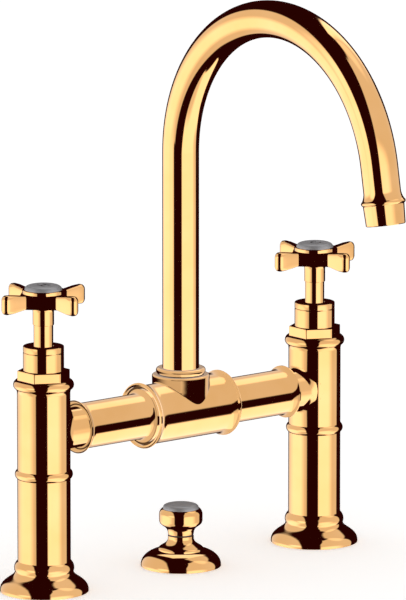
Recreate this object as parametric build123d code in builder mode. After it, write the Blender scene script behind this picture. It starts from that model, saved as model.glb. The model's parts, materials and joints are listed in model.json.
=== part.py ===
"""Two-handle bridge mixer for a wash basin, in millimetres.

The deck is z = 0. The origin is where the pull rod meets the deck, halfway between the two
pillars. X runs along the bridge, the spout points along -Y and +Z is up.
"""

import os
from math import asin, cos, degrees, radians, sin, sqrt, tan

from build123d import *

# Layout
pillar_spacing = 200.0
bridge_height = 90.5

# Fits
running_gap = 0.05
fixed_gap = 0.02
film_gap = 0.02

# Flanges on the deck
flange_radius = 24.95
flange_edge = 0.6
flange_height = 11.4
flange_top_radius = 16.5
flange_swell = 6.0
flange_sweep = 4.0
base_seal_lip = 2.5
base_seal_margin = 3.0
base_seal_thickness = 1.5

# Pillars
column_radius = 14.95
column_height = 120.7
foot_radius = 13.9
foot_gap = 0.5
collar_rise = 1.95
collar_lip = 1.8
collar_length = 5.9
mid_bead_height = 66.9
mid_bead_length = 5.0
mid_bead_rise = 1.35
top_bead_rise = 2.12
top_bead_length = 7.4
top_bead_drop = 2.8
top_bead_cove = 0.75
top_land = 15.3

# Water ways in the pillars
inlet_radius = 9.3
inlet_depth = 16.0
passage_radius = 7.0
seat_drop = 16.5
cage_radius = 8.9
cage_seat_depth = 3.0
chamber_radius = 10.3
gasket_radius = 11.95
gasket_recess = 3.8
gasket_thickness = 1.0
port_radius = 7.0

# Stubs of the pillars, where the bridge arms push on
stub_radius = 11.4
stub_seal_inset = 4.0
joint_seal_cord = 0.8

# Headworks
cage_wall = 0.85
cage_gap = 0.3
cage_length = 28.0
window_width = 6.5
window_height = 11.5
seat_seal_thickness = 1.8
seat_seal_bore = 5.6
disc_thickness = 3.0
disc_gap = 0.1
port_path_radius = 4.2
port_width = 3.4
port_sweep = 100.0
dog_radius = 1.1
dog_circle = 5.6
dog_depth = 2.0
driver_thickness = 2.5
driver_width = 4.4
driver_margin = 0.5
lower_stem_radius = 3.6
thrust_radius = 6.5
thrust_thickness = 3.0
spindle_radius = 5.0
spindle_seal_pitch = 6.0
spindle_seal_cord = 0.75
thread_length = 11.0
barrel_radius = 9.0
barrel_height = 15.0
clip_thickness = 0.8
clip_radius = 7.0
clip_depth = 0.6
clip_opening = 5.0
clip_land = 0.7
spindle_square = 5.6
spindle_end_rise = 12.0

# Nut and cover on the headworks
nut_width = 26.0
nut_height = 5.5
nut_corner_angle = 30.0
nut_chamfer_angle = 30.0
cover_radius = 11.5
cover_height = 13.8
cover_plate = 2.4
cover_groove_drop = 3.3
cover_groove_width = 0.5
cover_groove_depth = 0.35
cover_edge = 0.4

# Adapters between spindle and handle
adapter_radius = 5.5
adapter_sink = 1.9
adapter_shoulder = 12.0
adapter_square = 7.0
adapter_square_length = 11.0

# Cross handles
handle_neck_radius = 6.0
handle_neck_length = 7.5
hub_shoulder_radius = 8.25
hub_shoulder = 3.0
hub_half_width = 12.4
hub_side_count = 4
hub_edge = 0.5
bezel_radius = 11.8
bezel_edge = 1.9
bezel_break = 0.3
arm_count = 4
arm_reach = 29.2
arm_thickness = 6.0
arm_root_height = 7.6
arm_tip_height = 11.9
arm_corner = 3.2
arm_end_corner = 2.9
arm_overrun = 0.3
arm_edge = 0.9
handle_web = 2.0
screw_radius = 2.45
screw_head_radius = 4.7
screw_head_height = 3.0
screw_head_room = 0.3
screw_thread_length = 10.0
screw_hole_margin = 1.0
screw_socket = 3.0
screw_socket_depth = 1.8
cap_radius = 10.5
cap_seat_depth = 1.2
cap_edge = 1.4
cap_dome = 3.2
cap_spigot = 1.4

# Bridge arms and their joints
bridge_tube_radius = 12.95
bridge_bore = 8.5
arm_end_gap = 8.05
arm_rim_rise = 2.05
arm_flare = 4.0
arm_rim_land = 0.6
arm_cup_depth = 1.2
arm_socket_depth = 9.0
arm_collar_rise = 2.55
arm_collar_flare = 2.9
arm_collar_land = 0.4
spigot_radius = 11.2
spigot_length = 12.0
spigot_seal_inset = 5.0

# Tee
tee_radius = 16.9
tee_half_length = 29.6
tee_rim_rise = 1.85
tee_flare = 5.2
tee_rim_edge = 0.7
tee_recess_radius = 17.2
tee_recess_depth = 1.6
neck_radius = 16.4
neck_taper_angle = 1.3
neck_rise = 20.5
neck_edge = 1.0
neck_root = 0.8
mixing_drop = 11.0
cross_bore = 7.0

# Swivel joint at the foot of the spout
swivel_radius = 12.2
swivel_bore = 8.9
swivel_length = 17.0
swivel_seal_cord = 0.9
swivel_seal_pitch = 3.4
swivel_seal_margin = 0.45
glide_ring_height = 2.0
glide_ring_inset = 0.6
glide_ring_depth = 0.8
bush_wall = 0.65
bush_depth = 2.0
bush_flange_radius = 13.2
bush_flange_thickness = 0.6
stop_drop = 4.2
stop_slot_depth = 1.4
stop_screw_radius = 2.0
stop_screw_sink = 0.4
stop_screw_tip_gap = 0.1
stop_screw_socket = 2.0
stop_screw_socket_depth = 2.0
swivel_angle = 60.0
spout_ring_radius = 14.1
spout_ring_foot = 13.4
spout_ring_swell = 1.7
spout_ring_height = 3.2
spout_ring_land = 12.6
tube_socket_depth = 5.4

# Spout
tube_radius = 10.45
tube_wall = 1.5
arc_height = 238.8
arc_radius = 85.6
arc_angle = 170.0
straight_length = 20.0
outlet_flare = 5.0
outlet_flare_rise = 1.3
outlet_bead_rise = 1.95
outlet_bead_length = 2.4
outlet_socket_radius = 9.9
outlet_socket_depth = 4.7

# Aerator
nozzle_radius = 11.5
nozzle_end_radius = 11.0
nozzle_length = 11.4
nozzle_groove = 0.3
nozzle_groove_depth = 0.5
nozzle_edge = 0.4
nozzle_bore = 8.6
nozzle_lip = 0.8
nozzle_lip_length = 1.4
washer_thickness = 1.2
washer_bore = 7.4
insert_length = 8.5
insert_wall = 1.2
insert_plate = 1.6
insert_hole_radius = 0.9
insert_hole_circle = 5.0
insert_hole_count = 12
screen_thickness = 1.0
screen_hole = 1.3
screen_pitch = 2.0
screen_rows = 7

# Pull rod for the waste
pull_base_radius = 22.85
pull_base_edge = 0.6
pull_dome_height = 9.1
pull_dome_swell = 3.8
pull_dome_top_radius = 13.2
pull_dome_spread = 5.8
pull_dome_fall = 0.9
pull_step_inset = 0.4
pull_step_height = 0.8
pull_ogee_swell = 1.7
pull_ogee_sweep = 3.4
pull_ogee_lean = 0.4
pull_waist_radius = 7.35
pull_waist_height = 15.6
pull_base_height = 17.3
bush_radius = 5.5
bush_tip = 2.0
pull_bush_flange = 6.85
pull_bush_thickness = 0.9
rod_radius = 3.0
rod_socket_radius = 1.65
rod_socket_depth = 8.0
rod_shoulder = 2.0
rod_thread_radius = 2.4
rod_thread_length = 8.0
rod_seal_cord = 0.9
rod_seal_height = 12.0
knob_gap = 0.1
knob_neck_radius = 7.3
knob_radius = 12.35
knob_swell_height = 8.3
knob_neck_sweep = 5.7
knob_neck_lean = 0.3
knob_shoulder_sweep = 4.2
knob_band = 3.2
knob_height = 14.7
knob_bezel_radius = 10.75
knob_cap_radius = 10.2
knob_cap_seat = 1.2
knob_cap_edge = 1.8
knob_cap_dome = 2.4
knob_cap_spigot_radius = 4.0
knob_cap_spigot = 1.0

# Angles about an upright axis, and the hexagon of nuts and sockets
back_angle = 90.0
front_angle = -90.0
hexagon_side_count = 6

# Worked out from the sizes above
pillar_x = pillar_spacing / 2
seat_height = bridge_height - seat_drop
gasket_floor = column_height - gasket_recess
arm_end_x = pillar_x - column_radius - arm_end_gap
stub_tip_x = arm_end_x - arm_socket_depth
stub_seal_x = stub_tip_x + stub_seal_inset
tee_seat_x = tee_half_length - tee_recess_depth
arm_collar_x = tee_half_length + arm_collar_land
spigot_tip_x = tee_seat_x - spigot_length
spigot_seal_x = spigot_tip_x + spigot_seal_inset
fixed_disc_base = seat_height + seat_seal_thickness
moving_disc_base = fixed_disc_base + disc_thickness + film_gap
driver_base = moving_disc_base + disc_thickness
disc_radius = cage_radius - cage_wall - disc_gap
cage_base = seat_height + cage_gap
cage_top = cage_base + cage_length
thread_top = gasket_floor
thread_base = thread_top - thread_length
spindle_seal_middle = (thread_base + thread_top) / 2
spindle_seal_heights = (
    spindle_seal_middle - spindle_seal_pitch / 2,
    spindle_seal_middle + spindle_seal_pitch / 2,
)
barrel_top = column_height + barrel_height
nut_top = column_height + nut_height
cover_top = nut_top + cover_height
clip_base = barrel_top + film_gap
spindle_top = barrel_top + spindle_end_rise
adapter_base = cover_top - adapter_sink
handle_base = cover_top + adapter_shoulder
adapter_top = handle_base + adapter_square_length
hub_base = handle_base + handle_neck_length + hub_shoulder
hub_top = hub_base + arm_root_height
bezel_top = hub_top + bezel_edge
web_top = adapter_top + fixed_gap + handle_web
arm_axis_height = hub_base + arm_root_height / 2
arm_root_reach = hub_half_width * sqrt(2) - arm_thickness / 2
cap_floor = bezel_top - cap_seat_depth
neck_top = bridge_height + neck_rise
neck_foot_radius = neck_radius - neck_rise * tan(radians(neck_taper_angle))
mixing_floor = bridge_height - mixing_drop
swivel_base = neck_top - swivel_length
stop_height = neck_top - stop_drop
stop_slot_low = stop_height - stop_screw_radius - running_gap
upper_swivel_seal = stop_slot_low - swivel_seal_margin - swivel_seal_cord
swivel_seal_heights = (upper_swivel_seal - swivel_seal_pitch, upper_swivel_seal)
socket_radius = swivel_radius + 2 * running_gap
ring_base = neck_top + bush_flange_thickness + film_gap
ring_top = ring_base + spout_ring_height
tube_base = ring_top - tube_socket_depth
bead_start = straight_length - outlet_bead_length / 2
bead_end = straight_length + outlet_bead_length / 2
flare_start = bead_start - outlet_flare
socket_start = bead_end - outlet_socket_depth
washer_end = socket_start + washer_thickness
nozzle_end = bead_end + nozzle_length
lip_start = nozzle_end - nozzle_lip_length
screen_start = lip_start - screen_thickness
knob_base = pull_base_height + pull_bush_thickness + knob_gap
knob_top = knob_base + knob_height

# The outlet's axis starts where the bend ends and follows the water
bend_turn = radians(arc_angle)
bend_end = Vector(
    0,
    arc_radius * (cos(bend_turn) - 1),
    arc_height + arc_radius * sin(bend_turn),
)
flow = Vector(0, -sin(bend_turn), cos(bend_turn))
outlet_axis = Axis(bend_end, flow)
outlet_section = Plane(origin=bend_end, x_dir=(1, 0, 0), z_dir=(0, -flow.Z, flow.Y))
bridge_axis = Axis((0, 0, bridge_height), (1, 0, 0))

os.makedirs("parts", exist_ok=True)


def store(piece, name):
    """Label a finished piece and write its file."""
    piece.label = name
    export_step(piece, f"parts/{name}.step")


def upright(x=0.0):
    """The plane through an upright axis, where a point is (radius, height)."""
    return Plane(origin=(x, 0, 0), x_dir=(1, 0, 0), z_dir=(0, -1, 0))


def upright_axis(x=0.0):
    """The upright axis that a turned piece is revolved about."""
    return Axis((x, 0, 0), (0, 0, 1))


def level(height, x=0.0):
    """The level plane at a height, centred on an upright axis."""
    return Plane(origin=(x, 0, height))


def stepped(bottom, *steps):
    """Outline points of a turned piece, each step being (radius, top height)."""
    points = [(0, bottom)]
    height = bottom
    for radius, top in steps:
        points += [(radius, height), (radius, top)]
        height = top
    return points + [(0, height)]


def bore(radius, low, high, x=0.0):
    """Cut a round hole on an upright axis between two heights."""
    with Locations((x, 0, low)):
        Cylinder(
            radius,
            high - low,
            align=(Align.CENTER, Align.CENTER, Align.MIN),
            mode=Mode.SUBTRACT,
        )


def bridge_point(side, distance, radius):
    """A point on the upright plane, out along the bridge and off its axis."""
    return (side * distance, bridge_height + radius)


def across_outlet(distance):
    """The plane square to the outlet's axis, a distance past the end of the bend."""
    return Plane(origin=bend_end + flow * distance, x_dir=(1, 0, 0), z_dir=flow)


def make_ring(name, inner, outer, low, high, x=0.0):
    """A flat ring, such as a washer or a seal."""
    with BuildPart() as ring:
        with BuildSketch(level(low, x)):
            Circle(outer)
            Circle(inner, mode=Mode.SUBTRACT)
        extrude(amount=high - low)
    store(ring.part, name)


def make_flange(name, x):
    """The bell that covers the hole in the deck, recessed below for its seal."""
    with BuildPart() as flange:
        with BuildSketch(upright(x)):
            with BuildLine():
                Polyline(
                    (foot_radius + fixed_gap, flange_height),
                    (foot_radius + fixed_gap, 0),
                    (flange_radius, 0),
                    (flange_radius, flange_edge),
                )
                Bezier(
                    (flange_radius, flange_edge),
                    (flange_radius, flange_edge + flange_swell),
                    (flange_top_radius, flange_height - flange_sweep),
                    (flange_top_radius, flange_height),
                )
                Line((flange_top_radius, flange_height), (foot_radius + fixed_gap, flange_height))
            make_face()
        revolve(axis=upright_axis(x))
        with BuildSketch(level(0, x)):
            Circle(flange_radius - base_seal_margin)
            Circle(foot_radius + base_seal_lip, mode=Mode.SUBTRACT)
        extrude(amount=base_seal_thickness, mode=Mode.SUBTRACT)
    store(flange.part, name)


def make_pillar(name, side):
    """The turned column with its beads, its water ways and the stub for the bridge."""
    x = side * pillar_x
    collar_peak = (column_radius + collar_rise, flange_height + collar_lip)
    bead_low = mid_bead_height - mid_bead_length / 2
    bead_high = mid_bead_height + mid_bead_length / 2
    crown_low = column_height - top_bead_length
    crown_peak = (column_radius + top_bead_rise, column_height - top_bead_drop)
    crown_cove = (column_radius + top_bead_cove, (crown_low + crown_peak[1]) / 2)
    with BuildPart() as pillar:
        with BuildSketch(upright(x)):
            with BuildLine():
                Polyline(
                    (0, foot_gap),
                    (foot_radius, foot_gap),
                    (foot_radius, flange_height),
                    (flange_top_radius, flange_height),
                )
                TangentArc(collar_peak, (flange_top_radius, flange_height), tangent=(0, -1))
                TangentArc(collar_peak, (column_radius, flange_height + collar_length), tangent=(0, 1))
                Line((column_radius, flange_height + collar_length), (column_radius, bead_low))
                ThreePointArc(
                    (column_radius, bead_low),
                    (column_radius + mid_bead_rise, mid_bead_height),
                    (column_radius, bead_high),
                )
                Line((column_radius, bead_high), (column_radius, crown_low))
                TangentArc((column_radius, crown_low), crown_cove, tangent=(0, 1))
                TangentArc(crown_peak, crown_cove, tangent=(0, -1))
                TangentArc(crown_peak, (top_land, column_height), tangent=(0, 1))
                Polyline((top_land, column_height), (0, column_height), (0, foot_gap))
            make_face()
        revolve(axis=upright_axis(x))
        with BuildSketch(Plane.YZ.offset(side * stub_tip_x)):
            with Locations((0, bridge_height)):
                Circle(stub_radius)
        extrude(amount=side * (pillar_x - stub_tip_x))
        with Locations((side * stub_seal_x, 0, bridge_height)):
            Torus(
                stub_radius - joint_seal_cord,
                joint_seal_cord + fixed_gap,
                rotation=(0, 90, 0),
                mode=Mode.SUBTRACT,
            )
        bore(inlet_radius, foot_gap, foot_gap + inlet_depth, x)
        bore(passage_radius, foot_gap + inlet_depth, seat_height, x)
        bore(cage_radius + fixed_gap, seat_height, seat_height + cage_seat_depth, x)
        bore(chamber_radius, seat_height + cage_seat_depth, gasket_floor, x)
        bore(gasket_radius + fixed_gap, gasket_floor, column_height, x)
        with BuildSketch(Plane.YZ.offset(side * stub_tip_x)):
            with Locations((0, bridge_height)):
                Circle(port_radius)
        extrude(amount=side * (pillar_x - stub_tip_x), mode=Mode.SUBTRACT)
    store(pillar.part, name)


def make_headwork(name, x):
    """The valve's brass body: a windowed cage for the discs, a thread, a flange and a barrel."""
    window_middle = driver_base + window_height / 2
    with BuildPart() as headwork:
        with BuildSketch(upright(x)):
            with BuildLine():
                Polyline(
                    *stepped(
                        cage_base,
                        (cage_radius, thread_base),
                        (chamber_radius - fixed_gap, thread_top + gasket_thickness),
                        (gasket_radius, column_height),
                        (barrel_radius, barrel_top),
                    ),
                    close=True,
                )
            make_face()
        revolve(axis=upright_axis(x))
        bore(cage_radius - cage_wall, cage_base, cage_top, x)
        bore(spindle_radius + running_gap, cage_top, barrel_top, x)
        for facing in (upright(x), Plane(origin=(x, 0, 0), x_dir=(0, 1, 0), z_dir=(1, 0, 0))):
            with BuildSketch(facing):
                with Locations((0, window_middle)):
                    Rectangle(window_width, window_height)
            extrude(amount=cage_radius + cage_wall, both=True, mode=Mode.SUBTRACT)
    store(headwork.part, name)


def make_disc(name, base, port_angle, dogs, x):
    """A ceramic disc with a curved port, and holes for the driver's dogs where it has them."""
    with BuildPart() as disc:
        with BuildSketch(level(base, x)):
            Circle(disc_radius)
            port_path = CenterArc((0, 0), port_path_radius, port_angle - port_sweep / 2, port_sweep)
            SlotArc(port_path, port_width, mode=Mode.SUBTRACT)
            if dogs:
                with Locations((dog_circle, 0), (-dog_circle, 0)):
                    Circle(dog_radius + fixed_gap, mode=Mode.SUBTRACT)
        extrude(amount=disc_thickness)
    store(disc.part, name)


def make_spindle(name, x):
    """The stem that turns the moving disc, with its dogs below and its square above."""
    clip_top = clip_base + clip_thickness
    driver_half = dog_circle + dog_radius + driver_margin
    with BuildPart() as spindle:
        with BuildSketch(upright(x)):
            with BuildLine():
                Polyline(
                    *stepped(
                        driver_base,
                        (lower_stem_radius, cage_top - film_gap - thrust_thickness),
                        (thrust_radius, cage_top - film_gap),
                        (spindle_radius, clip_base),
                        (spindle_radius - clip_depth, clip_top),
                        (spindle_radius, clip_top + clip_land),
                    ),
                    close=True,
                )
            make_face()
        revolve(axis=upright_axis(x))
        with BuildSketch(level(driver_base, x)):
            Rectangle(2 * driver_half, driver_width)
        extrude(amount=driver_thickness)
        with BuildSketch(level(driver_base, x)):
            with Locations((dog_circle, 0), (-dog_circle, 0)):
                Circle(dog_radius)
        extrude(amount=-dog_depth)
        with BuildSketch(level(clip_top + clip_land, x)):
            Rectangle(spindle_square, spindle_square)
        extrude(amount=spindle_top - clip_top - clip_land)
        for height in spindle_seal_heights:
            with Locations((x, 0, height)):
                Torus(
                    spindle_radius - spindle_seal_cord,
                    spindle_seal_cord + fixed_gap,
                    mode=Mode.SUBTRACT,
                )
    store(spindle.part, name)


def make_upright_seals(name, radius, cord, heights, x=0.0):
    """Round seals one above the other, flush with the shaft that carries them."""
    with BuildPart() as seals:
        for height in heights:
            with Locations((x, 0, height)):
                Torus(radius - cord, cord)
    store(seals.part, name)


def make_clip(name, x):
    """The open ring that keeps the stem from dropping through the barrel."""
    with BuildPart() as clip:
        with BuildSketch(level(clip_base, x)):
            Circle(clip_radius)
            Circle(spindle_radius - clip_depth + fixed_gap, mode=Mode.SUBTRACT)
            with Locations((clip_radius / 2, 0)):
                Rectangle(clip_radius, clip_opening, mode=Mode.SUBTRACT)
        extrude(amount=clip_thickness)
    store(clip.part, name)


def make_nut(name, x):
    """The hexagon nut on top of the column, a corner pointing to the front."""
    flat_radius = nut_width / 2
    corner_radius = nut_width / sqrt(3)
    chamfer_height = (corner_radius - flat_radius) * sin(radians(nut_chamfer_angle))
    with BuildPart() as nut:
        with BuildSketch(level(column_height, x)):
            RegularPolygon(corner_radius, hexagon_side_count, rotation=nut_corner_angle)
        extrude(amount=nut_height)
        with BuildSketch(upright(x)):
            with BuildLine():
                Polyline(
                    (0, column_height),
                    (flat_radius, column_height),
                    (corner_radius, column_height + chamfer_height),
                    (corner_radius, nut_top - chamfer_height),
                    (flat_radius, nut_top),
                    (0, nut_top),
                    close=True,
                )
            make_face()
        revolve(axis=upright_axis(x), mode=Mode.INTERSECT)
        bore(barrel_radius + fixed_gap, column_height, nut_top, x)
    store(nut.part, name)


def make_cover(name, x):
    """The sleeve over the headwork's barrel, with a fine line near its top."""
    groove_top = cover_top - cover_groove_drop
    with BuildPart() as cover:
        with BuildSketch(upright(x)):
            with BuildLine():
                Polyline(
                    *stepped(
                        nut_top,
                        (cover_radius, groove_top - cover_groove_width),
                        (cover_radius - cover_groove_depth, groove_top),
                        (cover_radius, cover_top),
                    ),
                    close=True,
                )
            make_face()
        revolve(axis=upright_axis(x))
        fillet(cover.edges().group_by(Axis.Z)[-1], radius=cover_edge)
        bore(barrel_radius + fixed_gap, nut_top, cover_top - cover_plate, x)
        bore(adapter_radius + running_gap, cover_top - cover_plate, cover_top, x)
    store(cover.part, name)


def make_adapter(name, x):
    """The visible stem between the cover and the handle, squared at both ends."""
    with BuildPart() as adapter:
        with BuildSketch(level(adapter_base, x)):
            Circle(adapter_radius)
        extrude(amount=handle_base - adapter_base)
        with BuildSketch(level(handle_base, x)):
            Rectangle(adapter_square, adapter_square)
        extrude(amount=adapter_square_length)
        with BuildSketch(level(adapter_base, x)):
            Rectangle(spindle_square + 2 * fixed_gap, spindle_square + 2 * fixed_gap)
        extrude(amount=spindle_top - adapter_base, mode=Mode.SUBTRACT)
        screw_hole_depth = screw_thread_length + screw_hole_margin
        bore(screw_radius + fixed_gap, adapter_top - screw_hole_depth, adapter_top, x)
    store(adapter.part, name)


def cross_arm():
    """One flared arm of a cross handle, lying along +X with its root on the axis and a rounded end."""
    half_tip = arm_tip_height / 2
    half_root = arm_root_height / 2
    half_thickness = arm_thickness / 2
    side_end = arm_reach + arm_overrun
    with BuildPart() as arm:
        with BuildSketch(Plane.XZ) as side_view:
            with BuildLine():
                Polyline(
                    (side_end, half_tip),
                    (arm_root_reach, half_root),
                    (0, half_root),
                    (0, -half_root),
                    (arm_root_reach, -half_root),
                    (side_end, -half_tip),
                    close=True,
                )
            make_face()
            fillet(side_view.vertices().group_by(Axis.X)[-1], radius=arm_corner)
        extrude(amount=half_thickness, both=True)
        with BuildSketch(Plane.XY) as top_view:
            with Locations((arm_reach / 2, 0)):
                Rectangle(arm_reach, arm_thickness)
            fillet(top_view.vertices().group_by(Axis.X)[-1], radius=arm_end_corner)
        extrude(amount=arm_tip_height, both=True, mode=Mode.INTERSECT)
        long_edges = arm.faces().filter_by(Axis.Y).edges() - arm.edges().filter_by(Axis.Z)
        fillet(long_edges, radius=arm_edge)
    return arm.part


def make_handle(name, x, arm):
    """The cross handle: neck, square hub, four arms at its corners and the bezel round the cap."""
    neck_end = handle_base + handle_neck_length
    seat_radius = cap_radius + fixed_gap
    with BuildPart() as handle:
        with BuildSketch(level(hub_base, x)):
            RegularPolygon(hub_half_width, hub_side_count, major_radius=False)
        extrude(amount=arm_root_height)
        fillet(handle.edges(), radius=hub_edge)
        with BuildSketch(upright(x)):
            with BuildLine():
                Polyline(
                    (0, handle_base),
                    (handle_neck_radius, handle_base),
                    (handle_neck_radius, neck_end),
                )
                TangentArc(
                    (handle_neck_radius, neck_end),
                    (hub_shoulder_radius, hub_base),
                    tangent=(0, 1),
                )
                Polyline(
                    (hub_shoulder_radius, hub_base),
                    (hub_shoulder_radius, hub_top - hub_edge),
                    (bezel_radius, hub_top - hub_edge),
                    (bezel_radius, bezel_top - bezel_break),
                    (bezel_radius - bezel_break, bezel_top),
                    (seat_radius, bezel_top),
                    (seat_radius, cap_floor),
                    (0, cap_floor),
                    (0, handle_base),
                )
            make_face()
        revolve(axis=upright_axis(x))
        with Locations((x, 0, arm_axis_height)):
            with PolarLocations(0, arm_count):
                add(arm)
        with BuildSketch(level(handle_base, x)):
            Rectangle(adapter_square + 2 * fixed_gap, adapter_square + 2 * fixed_gap)
        extrude(amount=adapter_square_length + fixed_gap, mode=Mode.SUBTRACT)
        bore(screw_radius + screw_head_room, adapter_top, web_top, x)
        bore(screw_head_radius + screw_head_room, web_top, bezel_top, x)
        bore(seat_radius, cap_floor, bezel_top, x)
    store(handle.part, name)


def make_handle_screw(name, x):
    """The screw that draws the handle down onto the stem."""
    head_top = web_top + screw_head_height
    with BuildPart() as screw:
        with BuildSketch(upright(x)):
            with BuildLine():
                Polyline(
                    *stepped(
                        adapter_top - screw_thread_length,
                        (screw_radius, web_top),
                        (screw_head_radius, head_top),
                    ),
                    close=True,
                )
            make_face()
        revolve(axis=upright_axis(x))
        with BuildSketch(level(head_top, x)):
            RegularPolygon(screw_socket / 2, hexagon_side_count, major_radius=False)
        extrude(amount=-screw_socket_depth, mode=Mode.SUBTRACT)
    store(screw.part, name)


def make_cap(name, radius, floor, edge, dome, spigot_radius, spigot_depth, x=0.0):
    """A domed cap with a plain top, pushed into its seat by a short spigot."""
    with BuildPart() as cap:
        with BuildSketch(upright(x)):
            with BuildLine():
                Polyline(
                    (0, floor + edge + dome),
                    (0, floor - spigot_depth),
                    (spigot_radius, floor - spigot_depth),
                    (spigot_radius, floor),
                    (radius, floor),
                    (radius, floor + edge),
                )
                TangentArc((0, floor + edge + dome), (radius, floor + edge), tangent=(1, 0))
            make_face()
        revolve(axis=upright_axis(x))
    store(cap.part, name)


def make_arm(name, side):
    """The bridge tube between tee and pillar, flared at both ends."""
    rim_radius = bridge_tube_radius + arm_rim_rise
    collar_radius = bridge_tube_radius + arm_collar_rise
    socket = stub_radius + fixed_gap
    with BuildPart() as arm:
        with BuildSketch(Plane.XZ):
            with BuildLine():
                Polyline(
                    bridge_point(side, stub_tip_x, bridge_bore),
                    bridge_point(side, spigot_tip_x, bridge_bore),
                    bridge_point(side, spigot_tip_x, spigot_radius),
                    bridge_point(side, tee_seat_x, spigot_radius),
                    bridge_point(side, tee_seat_x, collar_radius),
                    bridge_point(side, arm_collar_x, collar_radius),
                )
                TangentArc(
                    bridge_point(side, arm_collar_x + arm_collar_flare, bridge_tube_radius),
                    bridge_point(side, arm_collar_x, collar_radius),
                    tangent=(-side, 0),
                )
                Line(
                    bridge_point(side, arm_collar_x + arm_collar_flare, bridge_tube_radius),
                    bridge_point(side, arm_end_x - arm_rim_land - arm_flare, bridge_tube_radius),
                )
                TangentArc(
                    bridge_point(side, arm_end_x - arm_rim_land - arm_flare, bridge_tube_radius),
                    bridge_point(side, arm_end_x - arm_rim_land, rim_radius),
                    tangent=(side, 0),
                )
                Polyline(
                    bridge_point(side, arm_end_x - arm_rim_land, rim_radius),
                    bridge_point(side, arm_end_x, rim_radius),
                    bridge_point(side, arm_end_x, rim_radius - arm_rim_land),
                )
                TangentArc(
                    bridge_point(side, arm_end_x, rim_radius - arm_rim_land),
                    bridge_point(side, arm_end_x - arm_cup_depth, socket),
                    tangent=(-side, 0),
                )
                Polyline(
                    bridge_point(side, arm_end_x - arm_cup_depth, socket),
                    bridge_point(side, stub_tip_x, socket),
                    bridge_point(side, stub_tip_x, bridge_bore),
                )
            make_face()
        revolve(axis=bridge_axis)
        with Locations((side * spigot_seal_x, 0, bridge_height)):
            Torus(
                spigot_radius - joint_seal_cord,
                joint_seal_cord + fixed_gap,
                rotation=(0, 90, 0),
                mode=Mode.SUBTRACT,
            )
    store(arm.part, name)


def make_arm_seals(name, side):
    """The round seals at the two ends of a bridge arm."""
    with BuildPart() as seals:
        for distance, radius in ((spigot_seal_x, spigot_radius), (stub_seal_x, stub_radius)):
            with Locations((side * distance, 0, bridge_height)):
                Torus(radius - joint_seal_cord, joint_seal_cord, rotation=(0, 90, 0))
    store(seals.part, name)


def make_tee():
    """The body in the middle of the bridge, where the two waters mix and rise."""
    rim_radius = tee_radius + tee_rim_rise
    flare_end_x = tee_half_length - tee_rim_edge
    flare_start_x = flare_end_x - tee_flare
    with BuildPart() as tee:
        with BuildSketch(Plane.XZ):
            with BuildLine():
                for side in (-1, 1):
                    Line(bridge_point(side, 0, tee_radius), bridge_point(side, flare_start_x, tee_radius))
                    TangentArc(
                        bridge_point(side, flare_start_x, tee_radius),
                        bridge_point(side, flare_end_x, rim_radius),
                        tangent=(side, 0),
                    )
                    TangentArc(
                        bridge_point(side, tee_half_length, rim_radius - tee_rim_edge),
                        bridge_point(side, flare_end_x, rim_radius),
                        tangent=(0, 1),
                    )
                    Polyline(
                        bridge_point(side, tee_half_length, rim_radius - tee_rim_edge),
                        bridge_point(side, tee_half_length, tee_recess_radius),
                        bridge_point(side, tee_seat_x, tee_recess_radius),
                        bridge_point(side, tee_seat_x, 0),
                        bridge_point(side, 0, 0),
                    )
            make_face()
        revolve(axis=bridge_axis)
        with BuildSketch(level(bridge_height)):
            Circle(neck_foot_radius)
        extrude(amount=neck_top - bridge_height, taper=-neck_taper_angle)
        neck_joint = tee.edges(Select.LAST).filter_by(GeomType.CIRCLE, reverse=True)
        fillet(neck_joint.filter_by(GeomType.LINE, reverse=True), radius=neck_root)
        fillet(tee.edges().group_by(Axis.Z)[-1], radius=neck_edge)
        bore(socket_radius, mixing_floor, neck_top)
        for side in (-1, 1):
            with BuildSketch(Plane.YZ.offset(side * tee_seat_x)):
                with Locations((0, bridge_height)):
                    Circle(spigot_radius + fixed_gap)
            extrude(amount=-side * spigot_length, mode=Mode.SUBTRACT)
        with BuildSketch(Plane.YZ):
            with Locations((0, bridge_height)):
                Circle(cross_bore)
        extrude(amount=tee_seat_x, both=True, mode=Mode.SUBTRACT)
        with BuildSketch(Plane.XZ.offset(-neck_radius)):
            with Locations((0, stop_height)):
                Circle(stop_screw_radius + fixed_gap)
        extrude(amount=neck_radius, mode=Mode.SUBTRACT)
    store(tee.part, "tee_body")


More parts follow.
